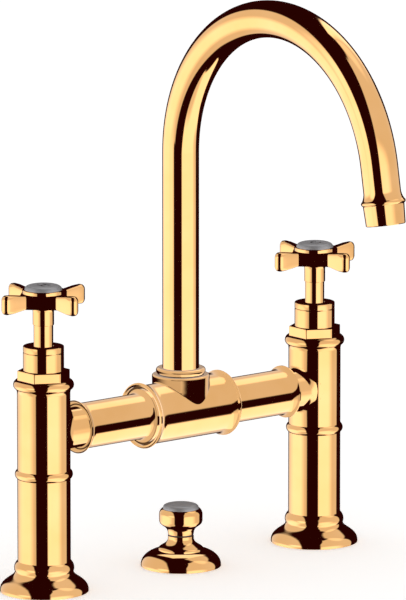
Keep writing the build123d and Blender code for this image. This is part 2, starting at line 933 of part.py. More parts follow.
def make_swivel_foot():
    """The turned foot that lets the spout swivel in the neck, with its stop slot."""
    glide_low = swivel_base + glide_ring_inset
    glide_high = glide_low + glide_ring_height
    bush_low = neck_top - bush_depth - film_gap
    ring_peak = (spout_ring_radius, ring_base + spout_ring_swell)
    slot_floor = swivel_radius - stop_slot_depth
    slot_half = swivel_angle + degrees(asin((stop_screw_radius + running_gap) / slot_floor))
    with BuildPart() as foot:
        with BuildSketch(upright()):
            with BuildLine():
                Polyline(
                    (tube_radius + fixed_gap, ring_top),
                    (tube_radius + fixed_gap, tube_base),
                    (swivel_bore, tube_base),
                    (swivel_bore, swivel_base),
                    (swivel_radius, swivel_base),
                    (swivel_radius, glide_low),
                    (swivel_radius - glide_ring_depth, glide_low),
                    (swivel_radius - glide_ring_depth, glide_high),
                    (swivel_radius, glide_high),
                    (swivel_radius, bush_low),
                    (swivel_radius - bush_wall, bush_low),
                    (swivel_radius - bush_wall, ring_base),
                    (spout_ring_foot, ring_base),
                )
                TangentArc(ring_peak, (spout_ring_foot, ring_base), tangent=(0, -1))
                TangentArc(ring_peak, (spout_ring_land, ring_top), tangent=(0, 1))
                Line((spout_ring_land, ring_top), (tube_radius + fixed_gap, ring_top))
            make_face()
        revolve(axis=upright_axis())
        for height in swivel_seal_heights:
            with Locations((0, 0, height)):
                Torus(
                    swivel_radius - swivel_seal_cord,
                    swivel_seal_cord + fixed_gap,
                    mode=Mode.SUBTRACT,
                )
        slot_edge = swivel_radius + stop_slot_depth
        with BuildSketch(level(stop_slot_low)):
            with BuildLine():
                inner = CenterArc((0, 0), slot_floor, back_angle - slot_half, 2 * slot_half)
                outer = CenterArc((0, 0), slot_edge, back_angle - slot_half, 2 * slot_half)
                Line(inner @ 0, outer @ 0)
                Line(inner @ 1, outer @ 1)
            make_face()
        extrude(amount=2 * (stop_screw_radius + running_gap), mode=Mode.SUBTRACT)
    store(foot.part, "spout_foot")


def make_swivel_bush():
    """The flanged bearing between the top of the neck and the spout's ring."""
    inner = swivel_radius - bush_wall + running_gap
    with BuildPart() as bush:
        with BuildSketch(upright()):
            with BuildLine():
                Polyline(
                    (inner, neck_top - bush_depth),
                    (socket_radius - fixed_gap, neck_top - bush_depth),
                    (socket_radius - fixed_gap, neck_top),
                    (bush_flange_radius, neck_top),
                    (bush_flange_radius, neck_top + bush_flange_thickness),
                    (inner, neck_top + bush_flange_thickness),
                    close=True,
                )
            make_face()
        revolve(axis=upright_axis())
    store(bush.part, "swivel_bush")


def make_stop_screw():
    """The grub screw at the back of the neck that holds the spout and stops its swing."""
    outer_y = neck_radius - stop_screw_sink
    inner_y = swivel_radius - stop_slot_depth + stop_screw_tip_gap
    with BuildPart() as screw:
        with BuildSketch(Plane.XZ.offset(-outer_y)):
            with Locations((0, stop_height)):
                Circle(stop_screw_radius)
        extrude(amount=outer_y - inner_y)
        with BuildSketch(Plane.XZ.offset(-outer_y)):
            with Locations((0, stop_height)):
                RegularPolygon(stop_screw_socket / 2, hexagon_side_count, major_radius=False)
        extrude(amount=stop_screw_socket_depth, mode=Mode.SUBTRACT)
    store(screw.part, "spout_stop_screw")


def make_spout_tube():
    """The gooseneck: a riser, a wide bend and a straight that flares into a beaded mouth."""
    bead_radius = tube_radius + outlet_bead_rise
    flare_radius = tube_radius + outlet_flare_rise
    with BuildPart() as tube:
        with BuildLine(Plane.YZ):
            Line((0, tube_base), (0, arc_height))
            bend = CenterArc((-arc_radius, arc_height), arc_radius, 0, arc_angle)
            Line(bend @ 1, bend @ 1 + (bend % 1) * flare_start)
        with BuildSketch(level(tube_base)):
            Circle(tube_radius)
            Circle(tube_radius - tube_wall, mode=Mode.SUBTRACT)
        sweep()
        with BuildSketch(outlet_section):
            with BuildLine():
                Line((tube_radius - tube_wall, flare_start), (tube_radius, flare_start))
                TangentArc((tube_radius, flare_start), (flare_radius, bead_start), tangent=(0, 1))
                ThreePointArc(
                    (flare_radius, bead_start),
                    (bead_radius, (bead_start + bead_end) / 2),
                    (flare_radius, bead_end),
                )
                Polyline(
                    (flare_radius, bead_end),
                    (outlet_socket_radius, bead_end),
                    (outlet_socket_radius, socket_start),
                    (tube_radius - tube_wall, socket_start),
                    (tube_radius - tube_wall, flare_start),
                )
            make_face()
        revolve(axis=outlet_axis)
    store(tube.part, "spout_tube")


def make_nozzle():
    """The outlet's housing, screwed into the mouth of the spout."""
    with BuildPart() as nozzle:
        with BuildSketch(outlet_section):
            with BuildLine():
                Polyline(
                    (nozzle_bore, washer_end),
                    (outlet_socket_radius - fixed_gap, washer_end),
                    (outlet_socket_radius - fixed_gap, bead_end),
                    (nozzle_radius - nozzle_groove_depth, bead_end),
                    (nozzle_radius - nozzle_groove_depth, bead_end + nozzle_groove),
                    (nozzle_radius, bead_end + nozzle_groove),
                    (nozzle_end_radius, nozzle_end - nozzle_edge),
                    (nozzle_end_radius - nozzle_edge, nozzle_end),
                    (nozzle_bore - nozzle_lip, nozzle_end),
                    (nozzle_bore - nozzle_lip, lip_start),
                    (nozzle_bore, lip_start),
                    close=True,
                )
            make_face()
        revolve(axis=outlet_axis)
    store(nozzle.part, "aerator_housing")


def make_outlet_washer():
    """The washer between the mouth of the spout and the housing."""
    with BuildPart() as washer:
        with BuildSketch(across_outlet(socket_start)):
            Circle(outlet_socket_radius - fixed_gap)
            Circle(washer_bore, mode=Mode.SUBTRACT)
        extrude(amount=washer_thickness)
    store(washer.part, "aerator_washer")


def make_insert():
    """The cup that breaks the water into fine jets."""
    outer = nozzle_bore - fixed_gap
    with BuildPart() as insert:
        with BuildSketch(across_outlet(screen_start - insert_length)):
            Circle(outer)
        extrude(amount=insert_length)
        with BuildSketch(across_outlet(screen_start)):
            Circle(outer - insert_wall)
        extrude(amount=insert_plate - insert_length, mode=Mode.SUBTRACT)
        with BuildSketch(across_outlet(screen_start - insert_length)):
            with PolarLocations(insert_hole_circle, insert_hole_count):
                Circle(insert_hole_radius)
        extrude(amount=insert_plate, mode=Mode.SUBTRACT)
    store(insert.part, "aerator_insert")


def make_screen():
    """The square mesh at the mouth of the outlet."""
    outer = nozzle_bore - fixed_gap
    hole_reach = outer - nozzle_lip - screen_hole
    holes = [
        place
        for place in GridLocations(screen_pitch, screen_pitch, screen_rows, screen_rows)
        if place.position.length < hole_reach
    ]
    with BuildPart() as screen:
        with BuildSketch(across_outlet(screen_start)):
            Circle(outer)
            with Locations(*holes):
                Rectangle(screen_hole, screen_hole, mode=Mode.SUBTRACT)
        extrude(amount=screen_thickness)
    store(screen.part, "aerator_screen")


def make_pull_base():
    """The domed rose that the pull rod stands in."""
    step_radius = pull_dome_top_radius - pull_step_inset
    step_top = pull_dome_height + pull_step_height
    with BuildPart() as base:
        with BuildSketch(upright()):
            with BuildLine():
                Polyline(
                    (bush_radius + fixed_gap, pull_base_height),
                    (bush_radius + fixed_gap, 0),
                    (pull_base_radius, 0),
                    (pull_base_radius, pull_base_edge),
                )
                Bezier(
                    (pull_base_radius, pull_base_edge),
                    (pull_base_radius, pull_base_edge + pull_dome_swell),
                    (pull_dome_top_radius + pull_dome_spread, pull_dome_height - pull_dome_fall),
                    (pull_dome_top_radius, pull_dome_height),
                )
                Polyline(
                    (pull_dome_top_radius, pull_dome_height),
                    (step_radius, pull_dome_height),
                    (step_radius, step_top),
                )
                Bezier(
                    (step_radius, step_top),
                    (step_radius - pull_ogee_lean, step_top + pull_ogee_swell),
                    (pull_waist_radius + pull_ogee_lean, pull_waist_height - pull_ogee_sweep),
                    (pull_waist_radius, pull_waist_height),
                )
                Polyline(
                    (pull_waist_radius, pull_waist_height),
                    (pull_waist_radius, pull_base_height),
                    (bush_radius + fixed_gap, pull_base_height),
                )
            make_face()
        revolve(axis=upright_axis())
        with BuildSketch(level(0)):
            Circle(pull_base_radius - base_seal_margin)
            Circle(pull_dome_top_radius, mode=Mode.SUBTRACT)
        extrude(amount=base_seal_thickness, mode=Mode.SUBTRACT)
    store(base.part, "pull_rod_base")


def make_pull_bush():
    """The plastic guide of the pull rod, grooved inside for its seal."""
    inner = rod_radius + running_gap
    bush_top = pull_base_height + pull_bush_thickness
    with BuildPart() as bush:
        with BuildSketch(upright()):
            with BuildLine():
                Polyline(
                    (inner, bush_tip),
                    (bush_radius, bush_tip),
                    (bush_radius, pull_base_height),
                    (pull_bush_flange, pull_base_height),
                    (pull_bush_flange, bush_top),
                    (inner, bush_top),
                    close=True,
                )
            make_face()
        revolve(axis=upright_axis())
        with Locations((0, 0, rod_seal_height)):
            Torus(inner + rod_seal_cord, rod_seal_cord + fixed_gap, mode=Mode.SUBTRACT)
    store(bush.part, "pull_rod_bush")


def make_rod_seal():
    """The seal that wipes the pull rod."""
    with BuildPart() as seal:
        with Locations((0, 0, rod_seal_height)):
            Torus(rod_radius + running_gap + rod_seal_cord, rod_seal_cord)
    store(seal.part, "pull_rod_seal")


def make_pull_rod():
    """The lift rod, tapped below for the linkage and threaded above into the knob."""
    with BuildPart() as rod:
        with BuildSketch(upright()):
            with BuildLine():
                Polyline(
                    *stepped(
                        0,
                        (rod_radius, knob_base + rod_shoulder),
                        (rod_thread_radius, knob_base + rod_shoulder + rod_thread_length),
                    ),
                    close=True,
                )
            make_face()
        revolve(axis=upright_axis())
        bore(rod_socket_radius, 0, rod_socket_depth)
    store(rod.part, "pull_rod")


def make_knob():
    """The pull knob: a waisted neck that swells to a band and closes in on its cap."""
    band_low = knob_base + knob_swell_height
    band_high = band_low + knob_band
    cap_seat = knob_top - knob_cap_seat
    seat_radius = knob_cap_radius + fixed_gap
    with BuildPart() as knob:
        with BuildSketch(upright()):
            with BuildLine():
                Polyline((0, cap_seat), (0, knob_base), (knob_neck_radius, knob_base))
                Bezier(
                    (knob_neck_radius, knob_base),
                    (knob_neck_radius + knob_neck_lean, knob_base + knob_neck_sweep),
                    (knob_radius, band_low - knob_shoulder_sweep),
                    (knob_radius, band_low),
                )
                Line((knob_radius, band_low), (knob_radius, band_high))
                TangentArc((knob_radius, band_high), (knob_bezel_radius, knob_top), tangent=(0, 1))
                Polyline(
                    (knob_bezel_radius, knob_top),
                    (seat_radius, knob_top),
                    (seat_radius, cap_seat),
                    (0, cap_seat),
                )
            make_face()
        revolve(axis=upright_axis())
        bore(rod_radius + fixed_gap, knob_base, knob_base + rod_shoulder)
        bore(rod_thread_radius + fixed_gap, knob_base, knob_base + rod_shoulder + rod_thread_length)
        bore(knob_cap_spigot_radius + fixed_gap, cap_seat - knob_cap_spigot, cap_seat)
    store(knob.part, "pull_knob")


def make_side(side, prefix, arm):
    """Everything on one side of the spout, from the deck to the handle's cap."""
    x = side * pillar_x
    make_flange(f"{prefix}_flange", x)
    make_ring(
        f"{prefix}_flange_seal",
        foot_radius + base_seal_lip + fixed_gap,
        flange_radius - base_seal_margin - fixed_gap,
        0,
        base_seal_thickness,
        x,
    )
    make_pillar(f"{prefix}_pillar", side)
    make_arm(f"{prefix}_bridge_arm", side)
    make_arm_seals(f"{prefix}_arm_seals", side)
    make_ring(
        f"{prefix}_seat_seal",
        seat_seal_bore,
        disc_radius,
        seat_height,
        fixed_disc_base,
        x,
    )
    make_disc(f"{prefix}_fixed_disc", fixed_disc_base, back_angle, False, x)
    make_disc(f"{prefix}_moving_disc", moving_disc_base, front_angle, True, x)
    make_spindle(f"{prefix}_spindle", x)
    make_upright_seals(
        f"{prefix}_spindle_seals",
        spindle_radius,
        spindle_seal_cord,
        spindle_seal_heights,
        x,
    )
    make_clip(f"{prefix}_spindle_clip", x)
    make_headwork(f"{prefix}_headwork", x)
    make_ring(
        f"{prefix}_headwork_gasket",
        chamber_radius,
        gasket_radius,
        gasket_floor,
        gasket_floor + gasket_thickness,
        x,
    )
    make_nut(f"{prefix}_hex_nut", x)
    make_cover(f"{prefix}_cover", x)
    make_adapter(f"{prefix}_stem_adapter", x)
    make_handle(f"{prefix}_cross_handle", x, arm)
    make_handle_screw(f"{prefix}_handle_screw", x)
    make_cap(
        f"{prefix}_handle_cap",
        cap_radius,
        cap_floor,
        cap_edge,
        cap_dome,
        screw_head_radius + screw_head_room - fixed_gap,
        cap_spigot,
        x,
    )


def make_pull_rod_group():
    """The lift rod for the waste, with its rose, guide, seals, knob and cap."""
    make_pull_base()
    make_ring(
        "pull_rod_base_seal",
        pull_dome_top_radius + fixed_gap,
        pull_base_radius - base_seal_margin - fixed_gap,
        0,
        base_seal_thickness,
    )
    make_pull_bush()
    make_rod_seal()
    make_pull_rod()
    make_knob()
    make_cap(
        "pull_knob_cap",
        knob_cap_radius,
        knob_top - knob_cap_seat,
        knob_cap_edge,
        knob_cap_dome,
        knob_cap_spigot_radius,
        knob_cap_spigot,
    )


def make_spout_group():
    """The tee, the swivel joint, the gooseneck and the outlet."""
    make_tee()
    make_swivel_foot()
    make_upright_seals("spout_foot_seals", swivel_radius, swivel_seal_cord, swivel_seal_heights)
    make_ring(
        "spout_glide_ring",
        swivel_radius - glide_ring_depth + fixed_gap,
        swivel_radius + running_gap,
        swivel_base + glide_ring_inset,
        swivel_base + glide_ring_inset + glide_ring_height,
    )
    make_swivel_bush()
    make_stop_screw()
    make_spout_tube()
    make_nozzle()
    make_outlet_washer()
    make_insert()
    make_screen()


handle_arm = cross_arm()
make_side(-1, "left", handle_arm)
make_side(1, "right", handle_arm)
make_pull_rod_group()
make_spout_group()
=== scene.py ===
# %% [markdown]
# A two-handle basin mixer in polished gold, dressed for its picture.
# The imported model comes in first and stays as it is: it is the fixed frame that every new piece
# is set against. All lengths are metres. The deck is z = 0, the bridge runs along X and the
# spout points along -Y.

# %% Load the frame
import json
from math import cos, pi, radians, sin, sqrt

import bmesh
import bpy
from mathutils import Matrix, Vector


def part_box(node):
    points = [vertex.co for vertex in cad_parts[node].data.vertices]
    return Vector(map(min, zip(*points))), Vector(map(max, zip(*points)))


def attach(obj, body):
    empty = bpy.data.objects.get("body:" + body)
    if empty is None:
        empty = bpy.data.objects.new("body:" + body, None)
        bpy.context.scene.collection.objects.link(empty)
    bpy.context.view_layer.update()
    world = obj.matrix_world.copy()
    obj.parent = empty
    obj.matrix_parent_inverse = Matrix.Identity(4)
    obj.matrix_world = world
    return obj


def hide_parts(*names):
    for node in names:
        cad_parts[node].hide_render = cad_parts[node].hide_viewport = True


MM = 0.001

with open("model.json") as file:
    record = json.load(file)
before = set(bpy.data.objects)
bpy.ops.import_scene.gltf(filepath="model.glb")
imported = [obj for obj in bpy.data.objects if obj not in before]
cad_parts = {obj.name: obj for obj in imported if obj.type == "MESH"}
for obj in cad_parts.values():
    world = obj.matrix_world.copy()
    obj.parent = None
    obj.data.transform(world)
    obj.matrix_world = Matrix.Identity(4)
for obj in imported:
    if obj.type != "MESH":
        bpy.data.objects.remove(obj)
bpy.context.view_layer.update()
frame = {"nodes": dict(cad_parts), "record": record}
nodes = frame["nodes"]
slot_of = {part["node"]: part["material_slot"] for part in frame["record"]["subparts"]}
print("CAD nodes:", len(nodes), "in", len(set(slot_of.values())), "finishes")

# %% [markdown]
# Blender's sockets want linear light, but finishes are easier to pick as the hex values that a
# colour picker shows. One function turns the first into the second. A second function adds a
# node with its settings and links in one call, which keeps each finish short enough to read.

# %% Colour and node helpers


def linear(hex_colour):
    """An sRGB hex colour as linear RGBA."""
    channels = [int(hex_colour[i : i + 2], 16) / 255 for i in (1, 3, 5)]
    curve = [c / 12.92 if c <= 0.04045 else ((c + 0.055) / 1.055) ** 2.4 for c in channels]
    return (*curve, 1.0)


def add_node(tree, kind, inputs=None, **settings):
    """Add a node with its settings. An input is a value, or an output socket to link."""
    node = tree.nodes.new(kind)
    for name, value in settings.items():
        setattr(node, name, value)
    for name, value in (inputs or {}).items():
        socket = node.inputs[name]
        if isinstance(value, bpy.types.NodeSocket):
            tree.links.new(value, socket)
        else:
            socket.default_value = value
    return node


def new_material(name):
    """An empty node material and its tree."""
    material = bpy.data.materials.new(name)
    material.use_nodes = True
    material.node_tree.nodes.clear()
    return material, material.node_tree


def finish_material(tree, shader):
    """Link a shader to the material's output."""
    add_node(tree, "ShaderNodeOutputMaterial", {"Surface": shader.outputs[0]})


def spread(tree, source, low, high):
    """Stretch the middle of a noise between two values."""
    return add_node(
        tree,
        "ShaderNodeMapRange",
        {"Value": source, "From Min": 0.3, "From Max": 0.7, "To Min": low, "To Max": high},
    ).outputs["Result"]


print("#E3B073 in linear light:", [round(c, 3) for c in linear("#E3B073")])

# %% [markdown]
# The outside is brass, ground and buffed to a mirror and then plated with gold. A mirror has
# hardly any colour pattern of its own, so what makes it look real is what the buffing wheel
# leaves: faint clouds of softer shine, a few centimetres across, and a slight drift in the
# tone of the plate. Hairlines from the wheel are some 5 microns wide, far too fine to show here,
# so they are drawn at 0.6 mm and kept very weak.

# %% Polished gold plate


def make_polished_gold():
    """Gold plate over buffed brass: clouds of softer shine and very weak hairlines."""
    cloud_size, hairline_width = 24 * MM, 0.6 * MM
    material, tree = new_material("polished_gold_plate")
    place = add_node(tree, "ShaderNodeTexCoord").outputs["Object"]
    clouds = add_node(
        tree, "ShaderNodeTexNoise", {"Vector": place, "Scale": 1 / cloud_size, "Detail": 3.0}
    ).outputs["Fac"]
    along = add_node(tree, "ShaderNodeMapping", {"Vector": place, "Scale": (1.0, 1.0, 0.12)})
    hairlines = add_node(
        tree,
        "ShaderNodeTexNoise",
        {"Vector": along.outputs["Vector"], "Scale": 1 / hairline_width, "Detail": 2.0},
    ).outputs["Fac"]
    tone = add_node(
        tree,
        "ShaderNodeMix",
        {0: spread(tree, clouds, 0.0, 1.0), 6: linear("#E1AD6E"), 7: linear("#E6B479")},
        data_type="RGBA",
    )
    shine = add_node(
        tree,
        "ShaderNodeMath",
        {0: spread(tree, clouds, 0.025, 0.05), 1: spread(tree, hairlines, 0.0, 0.012)},
        operation="ADD",
    )
    wheel = add_node(
        tree, "ShaderNodeBump", {"Height": hairlines, "Strength": 0.01, "Distance": 0.001 * MM}
    )
    shader = add_node(
        tree,
        "ShaderNodeBsdfPrincipled",
        {
            "Base Color": tone.outputs[2],
            "Metallic": 1.0,
            "Roughness": shine.outputs[0],
            "Normal": wheel.outputs["Normal"],
        },
    )
    finish_material(tree, shader)
    return material


gold = make_polished_gold()
print("made", gold.name)

# %% [markdown]
# The three caps are discs of steel, blasted with fine glass beads until they are satin. The
# blasting leaves a grain of about 0.1 mm that scatters light, so the button shades softly from
# a dark top to a pale rim. A plain high roughness would give the softness but a dead, even
# surface, so a noise moves tone, roughness and relief together. The grain is drawn at 0.35 mm
# so that it shows.

# %% Satin grey inlay


def make_satin_steel():
    """Steel with a fine blasted grain and faint wide clouds of tone."""
    grain_size, cloud_size = 0.35 * MM, 7 * MM
    material, tree = new_material("bead_blasted_steel")
    place = add_node(tree, "ShaderNodeTexCoord").outputs["Object"]
    grain = add_node(
        tree, "ShaderNodeTexNoise", {"Vector": place, "Scale": 1 / grain_size, "Detail": 4.0}
    ).outputs["Fac"]
    clouds = add_node(
        tree, "ShaderNodeTexNoise", {"Vector": place, "Scale": 1 / cloud_size, "Detail": 2.0}
    ).outputs["Fac"]
    tone = add_node(
        tree,
        "ShaderNodeMix",
        {0: spread(tree, clouds, 0.0, 1.0), 6: linear("#9C9C9E"), 7: linear("#A6A6A8")},
        data_type="RGBA",
    )
    dents = add_node(
        tree, "ShaderNodeBump", {"Height": grain, "Strength": 0.25, "Distance": 0.03 * MM}
    )
    shader = add_node(
        tree,
        "ShaderNodeBsdfPrincipled",
        {
            "Base Color": tone.outputs[2],
            "Metallic": 0.6,
            "Roughness": spread(tree, grain, 0.42, 0.52),
            "Normal": dents.outputs["Normal"],
        },
    )
    finish_material(tree, shader)
    return material


satin_steel = make_satin_steel()
print("made", satin_steel.name)

# %% [markdown]
# Behind the plate are the working parts: turned brass, pressed stainless steel, EPDM seals,
# lapped ceramic discs and moulded plastics. Each could have a tree of its own, but hardly any of
# them shows, so they share one recipe: two tones mixed by a noise at the size of the marks that
# the process leaves, with the same noise in roughness and bump. On turned pieces the marks are
# stretched into level rings.

# %% Finishes of the working parts


def make_worked(name, tones, metallic, roughness, mark, stretch=(1.0, 1.0, 1.0), depth=0.01):
    """A finish whose tone, roughness and relief follow marks of one size, in millimetres."""
    material, tree = new_material(name)
    place = add_node(tree, "ShaderNodeTexCoord").outputs["Object"]
    along = add_node(tree, "ShaderNodeMapping", {"Vector": place, "Scale": stretch})
    marks = add_node(
        tree,
        "ShaderNodeTexNoise",
        {"Vector": along.outputs["Vector"], "Scale": 1 / (mark * MM), "Detail": 4.0},
    ).outputs["Fac"]
    tone = add_node(
        tree,
        "ShaderNodeMix",
        {0: spread(tree, marks, 0.0, 1.0), 6: linear(tones[0]), 7: linear(tones[1])},
        data_type="RGBA",
    )
    relief = add_node(
        tree, "ShaderNodeBump", {"Height": marks, "Strength": 0.3, "Distance": depth * MM}
    )
    shader = add_node(
        tree,
        "ShaderNodeBsdfPrincipled",
        {
            "Base Color": tone.outputs[2],
            "Metallic": metallic,
            "Roughness": spread(tree, marks, *roughness),
            "Normal": relief.outputs["Normal"],
        },
    )
    finish_material(tree, shader)
    return material


level_rings = (0.15, 0.15, 1.0)
finishes = {
    "polished_gold": gold,
    "grey_inlay": satin_steel,
    # Fine rings left by the turning tool, 0.4 mm apart
    "plain_brass": make_worked(
        "turned_brass", ("#C19A52", "#CFA962"), 1.0, (0.24, 0.36), 0.4, level_rings
    ),
    # Cold-rolled and pressed: a pale grey metal with a faint grain
    "stainless_steel": make_worked(
        "pressed_stainless_steel", ("#B4B5B6", "#C2C3C4"), 1.0, (0.18, 0.3), 0.5
    ),
    # Moulded EPDM: near black and matt, with a bloom on its skin
    "seal_rubber": make_worked("moulded_epdm", ("#161617", "#222223"), 0.0, (0.55, 0.72), 0.8),
    # Fired and lapped: dense, cream white, smooth as glass
    "alumina": make_worked(
        "lapped_alumina", ("#ECE8DF", "#F3F0E9"), 0.0, (0.12, 0.2), 1.5, depth=0.002
    ),
    # Machined acetal: a waxy white
    "white_plastic": make_worked(
        "machined_acetal", ("#E2E1DC", "#EBEAE6"), 0.0, (0.32, 0.42), 0.6, level_rings
    ),
    # Moulded ABS with a fine spark-eroded texture
    "grey_plastic": make_worked("moulded_abs", ("#6B6D70", "#77797C"), 0.0, (0.38, 0.5), 0.5),
}
# Two guides behind the gold are of the same acetal, coloured dark brown as painted shade: they sit
# in narrow gaps that show as dark lines
painted_shade_finish = make_worked("greased_acetal", ("#2E2016", "#3C2A1D"), 0.0, (0.3, 0.42), 0.6, level_rings)
guides_in_painted_shade = ("swivel_bush", "pull_rod_bush")
for name, thing in nodes.items():
    finish = painted_shade_finish if name in guides_in_painted_shade else finishes[slot_of[name]]
    thing.data.materials.clear()
    thing.data.materials.append(finish)
print("finishes:", [m.name for m in (*finishes.values(), painted_shade_finish)])

# %% [markdown]
# The spout is a gooseneck: a tube that rises, bends through 170 degrees on one radius and ends
# in a flared mouth with a rolled bead. It could be a curve with a bevel, but then the mouth and
# the wall inside it would have to be added by hand. A bending shop shows a better way: the mouth
# is turned on a straight tube first, and then the tube is pulled round a former. Geometry Nodes
# can do the same to a section through the wall: spin it into a straight tube, then wrap that
# tube round the bend. A point at length s is turned by an angle a about the former's centre, and
# is let back by the length a * radius that the bend has used up. Both steps are Vector Rotate.

# %% A tree that turns a section and bends it


def named_input(tree, name):
    """The group input called name."""
    return next(i for i in tree.interface.items_tree if i.in_out == "INPUT" and i.name == name)


def make_turning_tree():
    """The tree: a section, its sides, a bend and a finish go in, and a piece comes out."""
    tree = bpy.data.node_groups.new("turn_and_bend", "GeometryNodeTree")
    tree.interface.new_socket("Section", in_out="INPUT", socket_type="NodeSocketGeometry")
    tree.interface.new_socket("Sides", in_out="INPUT", socket_type="NodeSocketInt")
    for name in ("Bend Start", "Bend Radius", "Bend Angle"):
        tree.interface.new_socket(name, in_out="INPUT", socket_type="NodeSocketFloat")
    tree.interface.new_socket("Finish", in_out="INPUT", socket_type="NodeSocketMaterial")
    tree.interface.new_socket("Geometry", in_out="OUTPUT", socket_type="NodeSocketGeometry")
    given = tree.nodes.new("NodeGroupInput").outputs

    # A sheet with one row of points for each point of the section, and one more to close it
    count = add_node(
        tree, "GeometryNodeAttributeDomainSize", {"Geometry": given["Section"]}
    ).outputs["Point Count"]
    rows = add_node(tree, "ShaderNodeMath", {0: count, 1: 1.0}, operation="ADD").outputs[0]
    columns = add_node(
        tree, "ShaderNodeMath", {0: given["Sides"], 1: 1.0}, operation="ADD"
    ).outputs[0]
    sheet = add_node(tree, "GeometryNodeMeshGrid", {"Vertices X": columns, "Vertices Y": rows})

    # The row says which point of the section this is, and the column how far round it sits
    index = add_node(tree, "GeometryNodeInputIndex").outputs[0]
    row = add_node(tree, "ShaderNodeMath", {0: index, 1: rows}, operation="MODULO").outputs[0]
    row = add_node(tree, "ShaderNodeMath", {0: row, 1: count}, operation="MODULO").outputs[0]
    column = add_node(tree, "ShaderNodeMath", {0: index, 1: rows}, operation="DIVIDE").outputs[0]
    column = add_node(tree, "ShaderNodeMath", {0: column}, operation="FLOOR").outputs[0]
    share = add_node(
        tree, "ShaderNodeMath", {0: column, 1: given["Sides"]}, operation="DIVIDE"
    ).outputs[0]
    round_angle = add_node(
        tree, "ShaderNodeMath", {0: share, 1: 2 * pi}, operation="MULTIPLY"
    ).outputs[0]
    place = add_node(tree, "GeometryNodeInputPosition").outputs[0]
    sample = add_node(
        tree,
        "GeometryNodeSampleIndex",
        {"Geometry": given["Section"], "Value": place, "Index": row},
        data_type="FLOAT_VECTOR",
    )
    point = add_node(tree, "ShaderNodeSeparateXYZ", {"Vector": sample.outputs[0]}).outputs

    # How far round the former this point has come, and the tube's length that this has used
    bend_length = add_node(
        tree,
        "ShaderNodeMath",
        {0: given["Bend Radius"], 1: given["Bend Angle"]},
        operation="MULTIPLY",
    ).outputs[0]
    bend_end = add_node(
        tree, "ShaderNodeMath", {0: given["Bend Start"], 1: bend_length}, operation="ADD"
    ).outputs[0]
    turned = add_node(
        tree,
        "ShaderNodeMapRange",
        {
            "Value": point["Z"],
            "From Min": given["Bend Start"],
            "From Max": bend_end,
            "To Max": given["Bend Angle"],
        },
    ).outputs["Result"]
    used = add_node(
        tree, "ShaderNodeMath", {0: turned, 1: given["Bend Radius"]}, operation="MULTIPLY"
    ).outputs[0]
    height = add_node(tree, "ShaderNodeMath", {0: point["Z"], 1: used}, operation="SUBTRACT")

    # Spin the section round its axis, then round the former's
    flat = add_node(tree, "ShaderNodeCombineXYZ", {"X": point["X"], "Z": height.outputs[0]})
    spun = add_node(
        tree,
        "ShaderNodeVectorRotate",
        {"Vector": flat.outputs[0], "Angle": round_angle},
        rotation_type="Z_AXIS",
    )
    back = add_node(
        tree, "ShaderNodeMath", {0: given["Bend Radius"], 1: -1.0}, operation="MULTIPLY"
    )
    former = add_node(
        tree, "ShaderNodeCombineXYZ", {"Y": back.outputs[0], "Z": given["Bend Start"]}
    )
    bent = add_node(
        tree,
        "ShaderNodeVectorRotate",
        {"Vector": spun.outputs[0], "Center": former.outputs[0], "Angle": turned},
        rotation_type="X_AXIS",
    )
    moved = add_node(
        tree,
        "GeometryNodeSetPosition",
        {"Geometry": sheet.outputs["Mesh"], "Position": bent.outputs[0]},
    )
    closed = add_node(
        tree, "GeometryNodeMergeByDistance", {"Geometry": moved.outputs[0], "Distance": 0.001 * MM}
    )
    real = add_node(tree, "GeometryNodeRealizeInstances", {"Geometry": closed.outputs[0]})
    dressed = add_node(
        tree,
        "GeometryNodeSetMaterial",
        {"Geometry": real.outputs[0], "Material": given["Finish"]},
    )
    add_node(tree, "NodeGroupOutput", {"Geometry": dressed.outputs[0]})
    return tree


turning_tree = make_turning_tree()
print("tree:", turning_tree.name, "with", len(turning_tree.nodes), "nodes")

# %% [markdown]
# A helper puts the tree on a section, gives it its sizes and keeps the result as a plain mesh.
# Edges that turn by more than 22 degrees stay sharp, so a mirror finish breaks there as it does
# on the real edge, and everything else is shaded smooth.

# %% Turn a section into a piece
# A bend that starts a metre up, above the end of every short section, bends nothing
NO_BEND = (1.0, 1.0, 0.1)
# Steps round a turned piece of up to 15 mm radius, so that it looks round
ROUND = 96


def new_object(name, data):
    """A new object in the scene that shows this data."""
    thing = bpy.data.objects.new(name, data)
    bpy.context.scene.collection.objects.link(thing)
    return thing


def keep_mesh(source, name):
    """The evaluated shape of a working object as a piece with a plain mesh."""
    shape = source.evaluated_get(bpy.context.evaluated_depsgraph_get())
    mesh = bpy.data.meshes.new_from_object(shape)
    mesh.name = name
    bpy.data.objects.remove(source)
    return new_object(name, mesh)


def soften(mesh, corner=22):
    """Smooth shading, with edges past a corner of this many degrees kept sharp."""
    mesh.shade_smooth()
    mesh.set_sharp_from_angle(angle=radians(corner))


def solid_volume(mesh):
    """The volume inside a mesh: positive where its faces point outwards."""
    shape = bmesh.new()
    shape.from_mesh(mesh)
    volume = shape.calc_volume(signed=True)
    shape.free()
    return volume


def turn_section(name, section, sides, finish, bend=NO_BEND):
    """Spin points of (radius, length), listed round the section, and bend the result."""
    mesh = bpy.data.meshes.new(name + "_section")
    mesh.from_pydata([(r, 0, s) for r, s in section], [], [])
    source = new_object(name + "_section", mesh)
    turning = source.modifiers.new("turning", "NODES")
    turning.node_group = turning_tree
    labels = ("Sides", "Bend Start", "Bend Radius", "Bend Angle", "Finish")
    for label, value in zip(labels, (sides, *bend, finish)):
        turning[named_input(turning_tree, label).identifier] = value
    piece = keep_mesh(source, name)
    soften(piece.data)
    volume = solid_volume(piece.data)
    print(f"{name}: {len(piece.data.polygons)} faces, {volume * 1e6:.2f} cm3")
    return piece


print("a piece without a bend has its bend start at", NO_BEND[0], "m")

